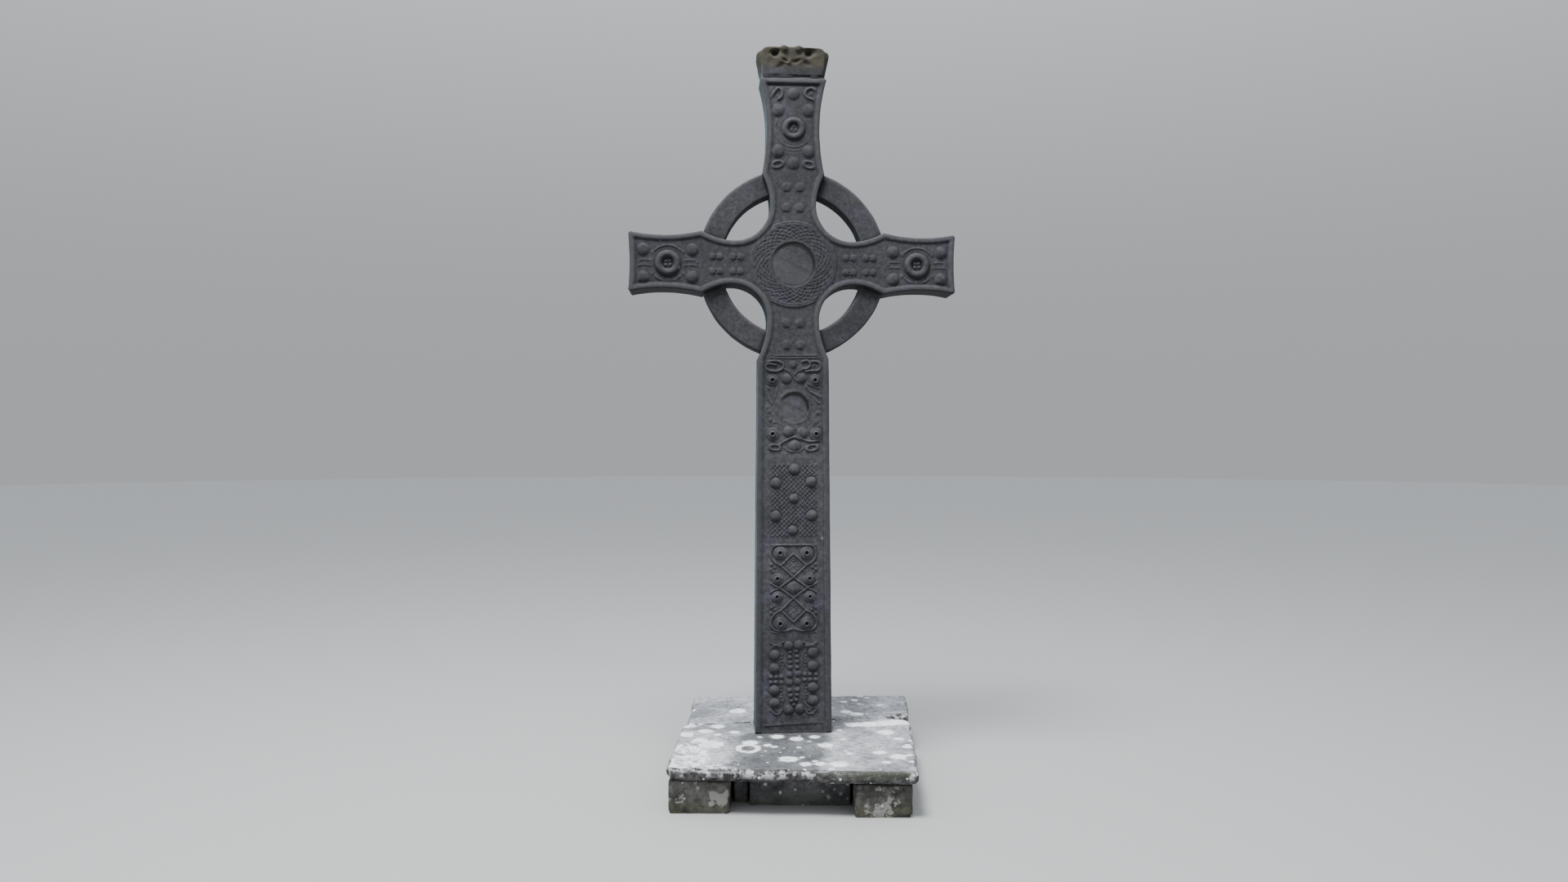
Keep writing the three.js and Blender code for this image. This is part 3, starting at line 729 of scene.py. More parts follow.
def coordinates(obj):
    values = np.empty(len(obj.data.vertices) * 3)
    obj.data.vertices.foreach_get("co", values)
    return values.reshape(-1, 3)


def set_coordinates(obj, values):
    obj.data.vertices.foreach_set("co", np.ascontiguousarray(values, float).ravel())
    obj.data.update()


def normals(obj):
    values = np.empty(len(obj.data.vertices) * 3, np.float32)
    obj.data.vertex_normals.foreach_get("vector", values)
    return values.reshape(-1, 3).astype(float)


def point_out(obj):
    """Turns all faces of a closed mesh outward."""
    bm = bmesh.new()
    bm.from_mesh(obj.data)
    bmesh.ops.recalc_face_normals(bm, faces=bm.faces)
    bm.to_mesh(obj.data)
    bm.free()


def finish_mesh(obj):
    only(obj)
    bpy.ops.object.shade_smooth_by_angle(angle=SMOOTH_ANGLE)


def relief_light_and_wear_attribute(obj, gain):
    """Stores how far each point stands out of its surroundings: 0 in hollows, 1 on edges. The material
    paints shade into the hollows from it, and a highlight with some real wear on the edges.
    """
    co, normal = coordinates(obj), normals(obj)
    pairs = np.empty(len(obj.data.edges) * 2, np.int64)
    obj.data.edges.foreach_get("vertices", pairs)
    first, second = pairs.reshape(-1, 2).T
    ends, others = np.concatenate([first, second]), np.concatenate([second, first])
    count = np.maximum(np.bincount(ends, minlength=len(co)), 1)
    smooth = co
    for _ in range(RELIEF_LIGHT_AND_WEAR_ROUNDS):
        total = [np.bincount(ends, smooth[others, axis], len(co)) for axis in range(3)]
        smooth = np.column_stack(total) / count[:, None]
    stand = np.einsum("ij,ij->i", co - smooth, normal) * gain
    store(obj, "relief_light_and_wear", np.clip(0.5 + stand, 0, 1))


def carving_attributes(obj):
    """Stores masks that the material paints light and shade with: painted shade on the sunk ground, a
    painted shadow under the upper rims of the two discs and painted light on their lower floors, and the
    straight edge mouldings, which it darkens.
    """
    x, y, z = coordinates(obj).T
    x, h = x / MM, (z - FOOT_HEIGHT) / MM
    height = np.abs(y - MID_DEPTH) / MM / thinning(h) - FIELD_HALF
    facing = smooth_step(0.35, 0.8, np.abs(normals(obj)[:, 1])) * (height > -24)
    # ground: where the material paints shade on the sunk panel floors
    ground = smooth_step(-1.5, -9, height) * facing
    lip, disc = np.zeros(len(x)), np.zeros(len(x))
    for across, up, radius in ((0, ROUNDEL_HEIGHT, EYE_RADIUS), (*SMALL_EYE, SMALL_EYE_RADIUS)):
        away = np.hypot(x - across, h - up)
        high = ((h - up) + 0.45 * (x - across)) / radius
        # rim and lip: a painted shadow under the upper rim of each disc
        rim = smooth_step(radius - 10 - 30 * np.clip(high, 0, 1), radius - 12, away)
        rim *= smooth_step(radius + 5, radius, away)
        lip = np.maximum(lip, rim * smooth_step(-0.25, 0.5, high))
        # open_floor: painted light on the lower part of each disc's floor
        open_floor = smooth_step(radius - 4, radius - 24, away) * smooth_step(0.9, -0.3, high)
        disc = np.maximum(disc, open_floor)
        ground *= away > radius
    front = y < MID_DEPTH
    straight = smooth_step(2440, 2380, h) + smooth_step(3700, 3760, h)
    store(obj, "ground", ground)
    store(obj, "lip", lip * front)
    store(obj, "disc", disc * facing * front)
    # roll: the straight edge mouldings, which the material makes darker
    store(obj, "roll", smooth_step(2, 7, height) * straight * facing * (np.abs(x) > 165))


def store(obj, name, values):
    """Keeps one number per point of a mesh, for its material."""
    attribute = obj.data.attributes.get(name) or obj.data.attributes.new(name, "FLOAT", "POINT")
    attribute.data.foreach_set("value", np.ascontiguousarray(values, np.float32))


def thinning(h):
    """Share of the thickness that is left at a height up the cross."""
    return 1 - (1 - TOP_THICKNESS / FOOT_THICKNESS) * h / CROSS_HEIGHT


# Finer parts of the two faces: X from and to, H from and to, and the pitch of their points

FRONT_ZONES = (
    (-170, 170, 3412, 4290, 5.75), (-1040, -330, 2940, 3240, 5.75), (330, 1040, 2940, 3240, 5.75),
    (-294, 294, 2788, 3376, 5.6), (-120, 120, 2500, 2740, 6.0), (-202, 202, 1828, 2490, 5.5),
    (-162, 162, 1278, 1776, 4.9), (-166, 166, 646, 1246, 5.2), (-166, 166, 102, 612, 5.4),
)
BACK_ZONES = (
    (-290, 290, 2792, 3372, 13), (-150, 150, 3800, 4150, 12), (-1000, -640, 2960, 3220, 12),
    (640, 1000, 2960, 3220, 12),
)


def face_spots(outline, distance_to, rows, zones, coarse):
    """Points for the triangles of a face: rows along its edge, fine zones and a coarse rest."""

    def grid_inside(zone):
        grid = hex_grid(*zone)
        grid = grid[inside_outline(grid, outline)]
        return grid[distance_to(grid) > rows[-1] + 4]

    rest = grid_inside((3 - ARM_REACH, ARM_REACH - 3, 4, CROSS_HEIGHT - 4, coarse))
    for x0, x1, h0, h1, _ in zones:
        within = (rest[:, 0] > x0 - 4) & (rest[:, 0] < x1 + 4)
        within &= (rest[:, 1] > h0 - 4) & (rest[:, 1] < h1 + 4)
        rest = rest[~within]
    edge = inset_rows(outline, rows, distance_to)
    return np.vstack([edge, *map(grid_inside, zones), rest])


def slab_face(rim, distance_to, side, spots, relief):
    """One carved face of the slab, -1 the front and 1 the back, and the places of its rim."""
    places, faces, loop = face_triangles(rim, spots)
    away = distance_to(places)
    away[loop] = 0
    noise = weather(np.column_stack([places, np.full(len(places), side * 900.0)]), 70, 21)
    height = relief(places, away) + 1.5 * noise - 0.8
    depth = MID_DEPTH + side * thinning(places[:, 1]) * (FIELD_HALF + height) * MM
    vertices = np.column_stack([places[:, 0] * MM, depth, FOOT_HEIGHT + places[:, 1] * MM])
    return vertices, faces if side < 0 else faces[:, ::-1], loop


def cross_slab():
    """The carved body of the cross as one closed mesh, without its ring."""
    outline = cross_outline(11.5)
    distance_to = outline_distance(outline)
    sway = weather(np.column_stack([outline, np.zeros(len(outline))]), 130, 11)
    ahead = np.roll(outline, -1, axis=0) - np.roll(outline, 1, axis=0)
    inward = np.column_stack([-ahead[:, 1], ahead[:, 0]]) / np.linalg.norm(ahead, axis=1)[:, None]
    between = (outline[:, 1:] > 1) * (outline[:, 1:] < CROSS_HEIGHT - 1)
    rim = outline + inward * (2.2 + 2.2 * sway)[:, None] * between
    front_spots = face_spots(outline, distance_to, (5, 11, 22, 33, 39, 44, 49, 55), FRONT_ZONES, 16)
    back_spots = face_spots(outline, distance_to, (7, 22, 36, 44, 50), BACK_ZONES, 22)
    front, front_faces, front_loop = slab_face(rim, distance_to, -1, front_spots, front_relief)
    back, back_faces, back_loop = slab_face(rim, distance_to, 1, back_spots, back_relief)
    vertices = [front, back]
    faces = [front_faces, back_faces + len(front)]
    loops = [front_loop]
    start = len(front) + len(back)
    for share in np.arange(1, 6) / 6:
        ring = front[front_loop] * (1 - share) + back[back_loop] * share
        lump = weather(ring / MM, 60, 31)
        ring[:, [0, 2]] += inward * (1.6 + 1.6 * lump)[:, None] * MM
        vertices.append(ring)
        loops.append(start + np.arange(len(ring)))
        start += len(ring)
    loops.append(back_loop + len(front))
    for near, far in zip(loops[:-1], loops[1:]):
        following = np.roll(np.arange(len(near)), -1)
        faces.append(np.column_stack([near, far, far[following]]))
        faces.append(np.column_stack([near, far[following], near[following]]))
    obj = mesh_object("carved_cross", np.vstack(vertices), np.vstack(faces))
    point_out(obj)
    return obj


def ring_hoop():
    """The ring behind the arms, a flat hoop with softened edges."""
    middle, half = (RING_OUTER + RING_INNER) / 2, (RING_OUTER - RING_INNER) / 2
    soft = 16
    depth = RING_HALF_DEPTH - soft
    corners = []
    for side_x, side_y, start in ((1, -1, -90), (1, 1, 0), (-1, 1, 90), (-1, -1, 180)):
        corners.extend(arc_points(side_x * (half - soft), side_y * depth, soft, start, start + 90, 3))
    profile = []
    for start, end in zip(corners, corners[1:] + corners[:1]):
        steps = 7 if math.dist(start, end) > 40 else 1
        profile += [start + (end - start) * k / steps for k in range(steps)]
    profile = np.array(profile)
    radius = middle + profile[:, 0]
    count, size = 220, len(profile)
    vertices, faces = [], []
    for i, turn in enumerate(np.linspace(0, 2 * math.pi, count, endpoint=False)):
        x, h = radius * math.cos(turn), HEAD_CENTRE + radius * math.sin(turn)
        y = MID_DEPTH + profile[:, 1] * thinning(h) * MM
        vertices.append(np.column_stack([x * MM, y, FOOT_HEIGHT + h * MM]))
        here, there = i * size, (i + 1) % count * size
        for k in range(size):
            following = (k + 1) % size
            faces.append((here + k, there + k, there + following, here + following))
    obj = mesh_object("ring_hoop", np.vstack(vertices), faces)
    point_out(obj)
    co = coordinates(obj)
    set_coordinates(obj, co - normals(obj) * ((1.8 + 1.8 * weather(co, 0.07, 41)) * MM)[:, None])
    return obj


def unite(body, other):
    """Joins another closed mesh to a body, as one skin."""
    apply_modifier(body, "BOOLEAN", operation="UNION", solver="MANIFOLD", object=other)
    bpy.data.objects.remove(other)


# Stones of the plinth and the cap

def stone_copy(node, name, voxel):
    """A merged copy of a node, remeshed into small even facets."""
    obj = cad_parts[node].copy()
    obj.data = obj.data.copy()
    obj.name = name
    for key in list(obj.keys()):
        del obj[key]
    obj.parent = None
    obj.data.materials.clear()
    bpy.context.scene.collection.objects.link(obj)
    only(obj)
    bpy.ops.object.mode_set(mode="EDIT")
    bpy.ops.mesh.select_all(action="SELECT")
    bpy.ops.mesh.remove_doubles(threshold=0.00005)
    bpy.ops.object.mode_set(mode="OBJECT")
    apply_modifier(obj, "REMESH", mode="VOXEL", voxel_size=voxel, adaptivity=0.0)
    return obj


def rough(obj, low, high, seed, broad, chips, keep=None):
    """Wears a stone inward with broad waves and chipped edges, between its bed levels low and high.

    Where keep gives 1, the edges are hardly chipped.
    """
    co, normal = coordinates(obj), normals(obj)
    wave = 0.5 + 0.5 * weather(co, 0.22, seed)
    grain = 0.5 + 0.5 * weather(co, 0.045, seed + 9)
    edge = np.clip(weather(co, 0.10, seed + 17, 2) * 1.6 - 0.1, 0, 1)
    flat = np.abs(normal).max(axis=1)
    corner = smooth_step(0.995, 0.86, flat)
    if keep:
        edge *= 1 - 0.75 * keep(co)
    depth = broad * (0.6 * wave + 0.4 * grain) + chips * edge * corner
    moved = co - normal * depth[:, None]
    moved[:, 2] = np.clip(moved[:, 2], low, high)
    set_coordinates(obj, moved)


def carve_cap(cap, high):
    """Rounds the upper corners of the cap's front plate and sinks the hollows into its face."""
    co, normal = coordinates(cap), normals(cap)
    face = np.percentile(co[normal[:, 1] < -0.8, 1], 20)
    plate = co[:, 1] < face + PLATE_DEPTH
    edge = co[plate & (np.abs(co[:, 0]) > 0.12)]
    level = edge[:, 2].max() - CAP_CORNER
    for reach in (edge[:, 0].min(), edge[:, 0].max()):
        middle = reach - math.copysign(CAP_CORNER, reach)
        dx, dz = co[:, 0] - middle, co[:, 2] - level
        away = np.maximum(np.hypot(dx, dz), 1e-6)
        corner = plate & (dx * reach > 0) & (dz > 0) & (away > CAP_CORNER)
        co[corner, 0] = middle + (dx / away)[corner] * CAP_CORNER
        co[corner, 2] = level + (dz / away)[corner] * CAP_CORNER
    depth = np.zeros(len(co))
    for x, down, half, tall, sink, turn in CAP_HOLLOWS:
        dx, dz = co[:, 0] - x, co[:, 2] - high.z + down
        c, s = math.cos(math.radians(turn)), math.sin(math.radians(turn))
        away = ((dx * c + dz * s) / half) ** 2 + ((dz * c - dx * s) / tall) ** 2
        depth = np.maximum(depth, sink * np.exp(-away))
    co[:, 1] += depth * smooth_step(-0.2, -0.7, normal[:, 1])
    set_coordinates(cap, co)


def seat(obj, level):
    """Flattens what lies close to the level on which a stone stands."""
    co = coordinates(obj)
    close = np.abs(co[:, 2] - level) < BED_REACH
    co[close, 2] = level
    set_coordinates(obj, co)


def growth_mask(across, up, growths, peak):
    """How thickly growths cover each point; each has a place and a width."""
    mask = np.zeros(len(across))
    for x, y, width in growths:
        away = np.hypot(across - x, up - y) / (width / 2)
        mask = np.maximum(mask, np.clip(peak - 0.6 * away, 0, 1))
    return mask


# Materials

def new_group(name, numbers, results):
    """A shader group that takes a place and some numbers, and gives the named results."""
    tree = bpy.data.node_groups.new(name, "ShaderNodeTree")
    tree.interface.new_socket("Place", in_out="INPUT", socket_type="NodeSocketVector")
    for label, value in numbers.items():
        socket = tree.interface.new_socket(label, in_out="INPUT", socket_type="NodeSocketFloat")
        socket.default_value = value
    for label in results:
        tree.interface.new_socket(label, in_out="OUTPUT", socket_type="NodeSocketFloat")
    n = Nodes(tree)
    return tree, n, n.add("NodeGroupInput").outputs, n.add("NodeGroupOutput").inputs


class Nodes:
    """Short calls that add linked nodes to a tree."""

    def __init__(self, tree):
        self.tree = tree

    def add(self, kind, inputs=None, **values):
        node = self.tree.nodes.new(kind)
        for key, value in values.items():
            setattr(node, key, value)
        for key, value in (inputs or {}).items():
            socket = node.inputs[key]
            if isinstance(value, bpy.types.NodeSocket):
                self.tree.links.new(value, socket)
            else:
                socket.default_value = value
        return node

    def math(self, operation, first, second):
        return self.add("ShaderNodeMath", {0: first, 1: second}, operation=operation).outputs[0]

    def times(self, first, second):
        return self.math("MULTIPLY", first, second)

    def plus(self, first, second):
        return self.math("ADD", first, second)

    def larger(self, first, second):
        return self.math("MAXIMUM", first, second)

    def frayed(self, value, ragged, amount):
        """A value whose rim is made ragged by a noise round 0.5."""
        return self.plus(value, self.times(self.math("SUBTRACT", ragged, 0.5), amount))

    def noise(self, place, scale, detail, rough):
        inputs = {"Vector": place, "Scale": scale, "Detail": detail, "Roughness": rough}
        return self.add("ShaderNodeTexNoise", inputs).outputs["Fac"]

    def spread(self, value, low, high, start=0.0, end=1.0):
        """Turns low into start and high into end, softly and no further."""
        inputs = {"Value": value, "From Min": low, "From Max": high, "To Min": start, "To Max": end}
        return self.add("ShaderNodeMapRange", inputs, interpolation_type="SMOOTHSTEP").outputs[0]

    def blend(self, share, first, second, mode="MIX"):
        inputs = {0: share, 6: first, 7: second}
        node = self.add("ShaderNodeMix", inputs, data_type="RGBA", blend_type=mode, clamp_factor=True)
        return node.outputs[2]

    def tint(self, base, factor):
        """A colour made darker or lighter by a factor."""
        grey = self.add("ShaderNodeCombineColor", {0: factor, 1: factor, 2: factor})
        return self.blend(1.0, base, grey.outputs[0], "MULTIPLY")

    def parts(self, vector):
        return self.add("ShaderNodeSeparateXYZ", {0: vector}).outputs

    def attribute(self, name):
        return self.add("ShaderNodeAttribute", attribute_name=name).outputs["Fac"]


def colour(red, green, blue):
    return (red, green, blue, 1.0)


def grain_group():
    """Gritty stone grain: a value that varies from 0 to 1, and a height for a bump."""
    tree, n, given, out = new_group("stone_grain", {"Grit": 120.0}, ("Value", "Height"))
    place, grit = given["Place"], given["Grit"]
    coarse = n.noise(place, n.times(grit, 0.22), 5, 0.6)
    fine = n.noise(place, grit, 4, 0.7)
    pits = n.add("ShaderNodeTexVoronoi", {"Vector": place, "Scale": n.times(grit, 0.9)})
    value = n.plus(n.times(coarse, 0.5), n.times(fine, 0.5))
    tree.links.new(value, out["Value"])
    tree.links.new(n.plus(value, n.times(pits.outputs["Distance"], 0.25)), out["Height"])
    return tree


def spots_group():
    """Round lichen growths: a mask with ragged rims, on a share of the cells."""
    numbers = {"Scale": 12.0, "Share": 0.4, "Size": 0.3}
    tree, n, given, out = new_group("lichen_spots", numbers, ("Mask",))
    ragged = n.noise(given["Place"], 38.0, 3, 0.6)
    cells = n.add("ShaderNodeTexVoronoi", {"Vector": given["Place"], "Scale": given["Scale"]}).outputs
    pick = n.add("ShaderNodeSeparateColor", {"Color": cells["Color"]}).outputs
    grown = n.math("LESS_THAN", pick[0], given["Share"])
    size = n.times(given["Size"], n.plus(n.times(pick[1], 0.8), 0.4))
    reach = n.frayed(cells["Distance"], ragged, 0.32)
    inside = n.spread(n.math("SUBTRACT", size, reach), -0.015, 0.03)
    tree.links.new(n.times(inside, grown), out["Mask"])
    return tree


def stone_grain(n, place, grit):
    """Puts the shared grain in a material, and gives its Value and Height."""
    tree = bpy.data.node_groups.get("stone_grain") or grain_group()
    return n.add("ShaderNodeGroup", {"Place": place, "Grit": grit}, node_tree=tree).outputs


def lichen_spots(n, place, scale, share, size):
    """Puts the shared lichen spots in a material, and gives their mask."""
    tree = bpy.data.node_groups.get("lichen_spots") or spots_group()
    inputs = {"Place": place, "Scale": scale, "Share": share, "Size": size}
    return n.add("ShaderNodeGroup", inputs, node_tree=tree).outputs["Mask"]


def new_material(name):
    """A material with an empty tree, and the object's own coordinates in it."""
    material = bpy.data.materials.new(name)
    material.use_nodes = True
    material.node_tree.nodes.clear()
    n = Nodes(material.node_tree)
    return material, n, n.add("ShaderNodeTexCoord").outputs["Object"]


def close_material(n, base, grain, height, smoothest, roughest, depth):
    """Ends a stone with its shader; the grain varies its roughness, the height is its bump."""
    bump = n.add("ShaderNodeBump", {"Height": height, "Distance": depth, "Strength": 1.0})
    shader = n.add("ShaderNodeBsdfPrincipled", {
        "Base Color": base, "Roughness": n.spread(grain["Value"], 0.3, 0.7, smoothest, roughest),
        "Metallic": 0.0, "Specular IOR Level": 0.35, "Normal": bump.outputs[0]})
    n.add("ShaderNodeOutputMaterial", {"Surface": shader.outputs[0]})


def cross_stone(settings, name="weathered_blue_stone", olive=0.0):
    """Dark blue-grey stone with painted light and shade on its carving: painted shade in hollows, on sunk
    grounds and undersides, a painted shadow in the disc rims, painted highlights on crests and tops,
    painted light on the disc floors and painted sky light on the faces toward the left; olive is the
    strength of the algae film on it.
    """
    material, n, place = new_material(name)
    grain = stone_grain(n, place, 190.0)
    patch = n.noise(place, 5.0, 4, 0.6)
    height = n.parts(place)[2]
    base = n.blend(n.spread(n.noise(place, 1.6, 3, 0.5), 0.35, 0.65), settings.dark, settings.light)
    base = n.blend(n.times(n.spread(patch, 0.52, 0.68), 0.55), base, settings.purple)
    base = n.tint(base, n.spread(height, 3.0, 1.9, 0.62 if olive else 0.86, 1.42))
    base = n.tint(base, n.spread(grain["Value"], 0.34, 0.66, 0.62, 1.42))
    base = n.tint(base, n.spread(n.noise(place, 34.0, 4, 0.65), 0.36, 0.64, 0.78, 1.25))
    # This mask is 0 in hollows and 1 on crests; from it the loop below paints shade into the hollows, and a
    # highlight with some real wear on the crests
    relief_light_and_wear = n.attribute("relief_light_and_wear")
    right, _, up = n.parts(n.add("ShaderNodeNewGeometry").outputs["Normal"])
    # Painted shade on the sunk panel grounds
    for share, tone in ((n.spread(n.attribute("ground"), 0, 1, 0.0, 0.55), settings.hollow),
                        # Painted highlight on the crests, with some real wear
                        (n.spread(relief_light_and_wear, 0.6, 1.0, 0.0, 0.36), settings.worn),
                        # The straight edge rolls made darker
                        (n.times(n.attribute("roll"), 0.3), settings.hollow),
                        # Painted light on the tops and painted shade on the undersides, from the smooth
                        # normal
                        (n.spread(up, 0.2, 0.8, 0.0, 0.15), settings.worn),
                        (n.spread(up, -0.1, -0.7, 0.0, 0.7), settings.hollow),
                        # Painted shade in the hollows
                        (n.spread(relief_light_and_wear, 0.49, 0.1, 0.0, 0.9), settings.hollow),
                        # Painted light on the lower floor of each eye disc
                        (n.times(n.attribute("disc"), 0.3), settings.worn),
                        # Painted shadow, near black, under the upper rim of each eye disc
                        (n.attribute("lip"), colour(0.004, 0.004, 0.005))):
        base = n.blend(share, base, tone)
    # Painted sky light: a patchy bluish tint on the faces toward the left
    film = n.spread(n.times(right, -1.0), 0.8, 0.97, 0.0, n.spread(patch, 0.35, 0.6, 0.3, 0.65))
    base = n.blend(film, base, settings.sky_lit_side)
    if olive:
        algae = n.spread(n.noise(place, 14.0, 4, 0.6), 0.33, 0.55, 0.35, olive)
        base = n.blend(n.times(algae, n.spread(height, 4.63, 4.71)), base, settings.olive)
    dots = lichen_spots(n, place, 16.0, 0.035, 0.16)
    base = n.blend(n.times(dots, 0.5), base, colour(0.17, 0.18, 0.18))
    close_material(n, base, grain, grain["Height"], 0.82, 0.97, 0.0024)
    return material


def cover_stone(settings):
    """Pale slabs with white crusts on top, dark edges, damp algae and the painted shadow of the cross."""
    material, n, place = new_material("lichened_cover_stone")
    grain = stone_grain(n, place, 90.0)
    fine = n.noise(place, 26.0, 5, 0.7)
    broad = n.spread(n.noise(place, 3.0, 5, 0.62), 0.36, 0.64)
    base = n.tint(n.blend(broad, settings.cover_dark, settings.cover_light),
                  n.spread(fine, 0.3, 0.7, 0.62, 1.32))
    up = n.spread(n.parts(n.add("ShaderNodeNewGeometry").outputs["True Normal"])[2], 0.55, 0.93)
    side = n.blend(n.spread(fine, 0.4, 0.6), settings.side_dark, settings.side_light)
    # The painted shadow of the cross darkens the top in front of its foot
    base = n.tint(n.blend(up, side, base), n.spread(n.attribute("painted_cross_shadow"), 0, 1, 1.05, 0.45))
    algae = n.spread(n.frayed(n.attribute("damp"), fine, 0.9), 0.42, 0.6)
    base = n.blend(n.times(algae, 0.85), base, settings.algae)
    crust = n.attribute("crust")
    ragged = n.noise(place, 30.0, 5, 0.66)
    crusty = n.spread(n.frayed(crust, ragged, 0.9), 0.46, 0.58)
    veil = n.spread(n.frayed(crust, ragged, 1.3), 0.2, 0.6, 0, 0.45)
    spots = n.larger(lichen_spots(n, place, 13.0, 0.16, 0.26), lichen_spots(n, place, 34.0, 0.13, 0.26))
    clumps = n.spread(n.noise(place, 17.0, 5, 0.7), 0.5, 0.6, 0.0, 0.75)
    edge_crust = n.times(n.math("SUBTRACT", 1.0, up), n.times(clumps, n.attribute("brow")))
    scatter = n.larger(n.times(spots, 0.85), edge_crust)
    white = n.blend(n.spread(grain["Value"], 0.35, 0.6), settings.lichen_grey, settings.lichen)
    base = n.blend(veil, base, settings.lichen_grey)
    base = n.blend(crusty, n.blend(scatter, base, white), white)
    height = n.plus(grain["Height"], n.times(n.larger(scatter, crusty), 0.35))
    close_material(n, base, grain, height, 0.86, 0.98, 0.006)
    return material


def block_stone(settings, name, dark, light, share, dots):
    """Rough stone; share is how much of it pale patches take, dots the scale of its lichen."""
    material, n, place = new_material(name)
    grain = stone_grain(n, place, 80.0)
    fine = n.noise(place, 30.0, 5, 0.7)
    base = n.blend(n.spread(n.noise(place, 5.0, 5, 0.62), 0.36, 0.64), dark, light)
    base = n.tint(base, n.spread(fine, 0.3, 0.7, 0.55, 1.4))
    green = n.times(n.spread(n.parts(place)[2], 0.14, 0.0), n.spread(fine, 0.4, 0.6))
    base = n.blend(n.times(green, 0.7), base, settings.olive_ground)
    patches = n.spread(n.noise(place, 7.0, 5, 0.7), 1 - share, 1 - share + 0.05)
    grown = n.spread(n.frayed(n.attribute("growth"), fine, 1.1), 0.42, 0.6)
    base = n.blend(n.times(n.larger(patches, grown), 0.8), base, settings.patch)
    base = n.blend(n.times(lichen_spots(n, place, dots, 0.4, 0.22), 0.85), base, settings.lichen_grey)
    close_material(n, base, grain, grain["Height"], 0.84, 0.98, 0.008)
    return material


# Hollows on the cap: x, distance below its top, half width, half height, depth and turn

CAP_HOLLOWS = (
    (-0.120, 0.053, 0.032, 0.013, 0.020, 14), (0.108, 0.048, 0.040, 0.017, 0.022, -6),
    (-0.052, 0.110, 0.022, 0.009, 0.010, -25), (0.024, 0.112, 0.030, 0.010, 0.012, 12),
    (-0.150, 0.120, 0.018, 0.030, 0.006, 10), (0.095, 0.128, 0.034, 0.012, 0.008, -18),
    (-0.090, 0.150, 0.030, 0.010, 0.006, 20),
)

# Pale growths on the front of the plinth stones: x, height and width in metres

STONE_GROWTHS = (
    (0.130, 0.085, 0.022), (0.165, 0.050, 0.026), (0.200, 0.095, 0.018), (0.240, 0.070, 0.024),
    (0.272, 0.040, 0.016), (-0.525, 0.105, 0.060), (-0.480, 0.085, 0.075), (-0.450, 0.120, 0.045),
    (-0.540, 0.060, 0.035), (-0.620, 0.150, 0.022), (-0.700, 0.090, 0.020),
)


# Settings, shown in the sidebar

def colour_property(name, description, red, green, blue):
    return bpy.props.FloatVectorProperty(name=name, description=description, subtype="COLOR", size=4,
                                         min=0, max=1, default=colour(red, green, blue))


class MEMORIAL_PG_cross(bpy.types.PropertyGroup):
    dark: colour_property("Dark stone", "Darker tone of the cross", 0.024, 0.024, 0.027)
    light: colour_property("Light stone", "Lighter tone of the cross", 0.038, 0.038, 0.042)
    purple: colour_property("Purple patches", "Tone of the bluish purple patches", 0.040, 0.037, 0.054)
    # worn: a painted highlight on crests, tops and the lower floors of the eye discs, with some real wear
    # on the crests
    worn: colour_property("Worn edges", "Tone of the rubbed high parts", 0.072, 0.074, 0.080)
    # hollow: painted shade on the sunk grounds, hollows and undersides, with some dirt in the hollows; it
    # also darkens the straight edge rolls
    hollow: colour_property("Hollows", "Tone of the dirt in the carving", 0.009, 0.009, 0.011)
    # Weather side tone: painted sky light on the faces toward the left
    sky_lit_side: colour_property("Weather side", "Film on the faces toward the left", 0.085, 0.14, 0.165)
    olive: colour_property("Algae film", "Olive film on the cap stone", 0.034, 0.030, 0.016)


class MEMORIAL_PG_plinth(bpy.types.PropertyGroup):
    cover_dark: colour_property("Cover, dark", "Darker tone of the cover slabs", 0.165, 0.171, 0.184)
    cover_light: colour_property("Cover, light", "Lighter tone of the cover slabs", 0.365, 0.375, 0.395)
    side_dark: colour_property("Edges, dark", "Darker tone of the slab edges", 0.032, 0.031, 0.031)
    side_light: colour_property("Edges, light", "Lighter tone of the slab edges", 0.105, 0.101, 0.101)
    algae: colour_property("Algae", "Dark algae on the covers", 0.055, 0.058, 0.045)
    lichen: colour_property("Lichen", "White crusts", 0.94, 0.97, 0.97)
    lichen_grey: colour_property("Old lichen", "Grey crusts", 0.52, 0.55, 0.56)
    block_dark: colour_property("Blocks, dark", "Darker tone of the corner blocks", 0.046, 0.045, 0.041)
    block_light: colour_property("Blocks, light", "Lighter tone of the corner blocks", 0.125, 0.121, 0.113)
    slab_dark: colour_property("Side slabs, dark", "Darker tone of the side slabs", 0.075, 0.074, 0.082)
    slab_light: colour_property("Side slabs, light", "Lighter tone of the side slabs", 0.150, 0.148, 0.158)
    patch: colour_property("Pale patches", "Pale growth on the blocks", 0.30, 0.30, 0.28)
    olive_ground: colour_property("Green foot", "Algae near the ground", 0.07, 0.075, 0.035)


class MEMORIAL_PG_stage(bpy.types.PropertyGroup):
    floor: colour_property("Floor", "Tone of the floor", 0.38, 0.38, 0.375)
    key_power: bpy.props.FloatProperty(name="Key light", description="Power of the large light above",
                                       default=2000.0, min=0.0, subtype="POWER")
    sky_strength: bpy.props.FloatProperty(name="Sky", description="Strength of the light from all round",
                                          default=0.48, min=0.0)
    lens: bpy.props.FloatProperty(name="Lens", description="Focal length in millimetres",
                                  default=24.45, min=1.0)


# Lichen growths on the covers: x, y and width in metres

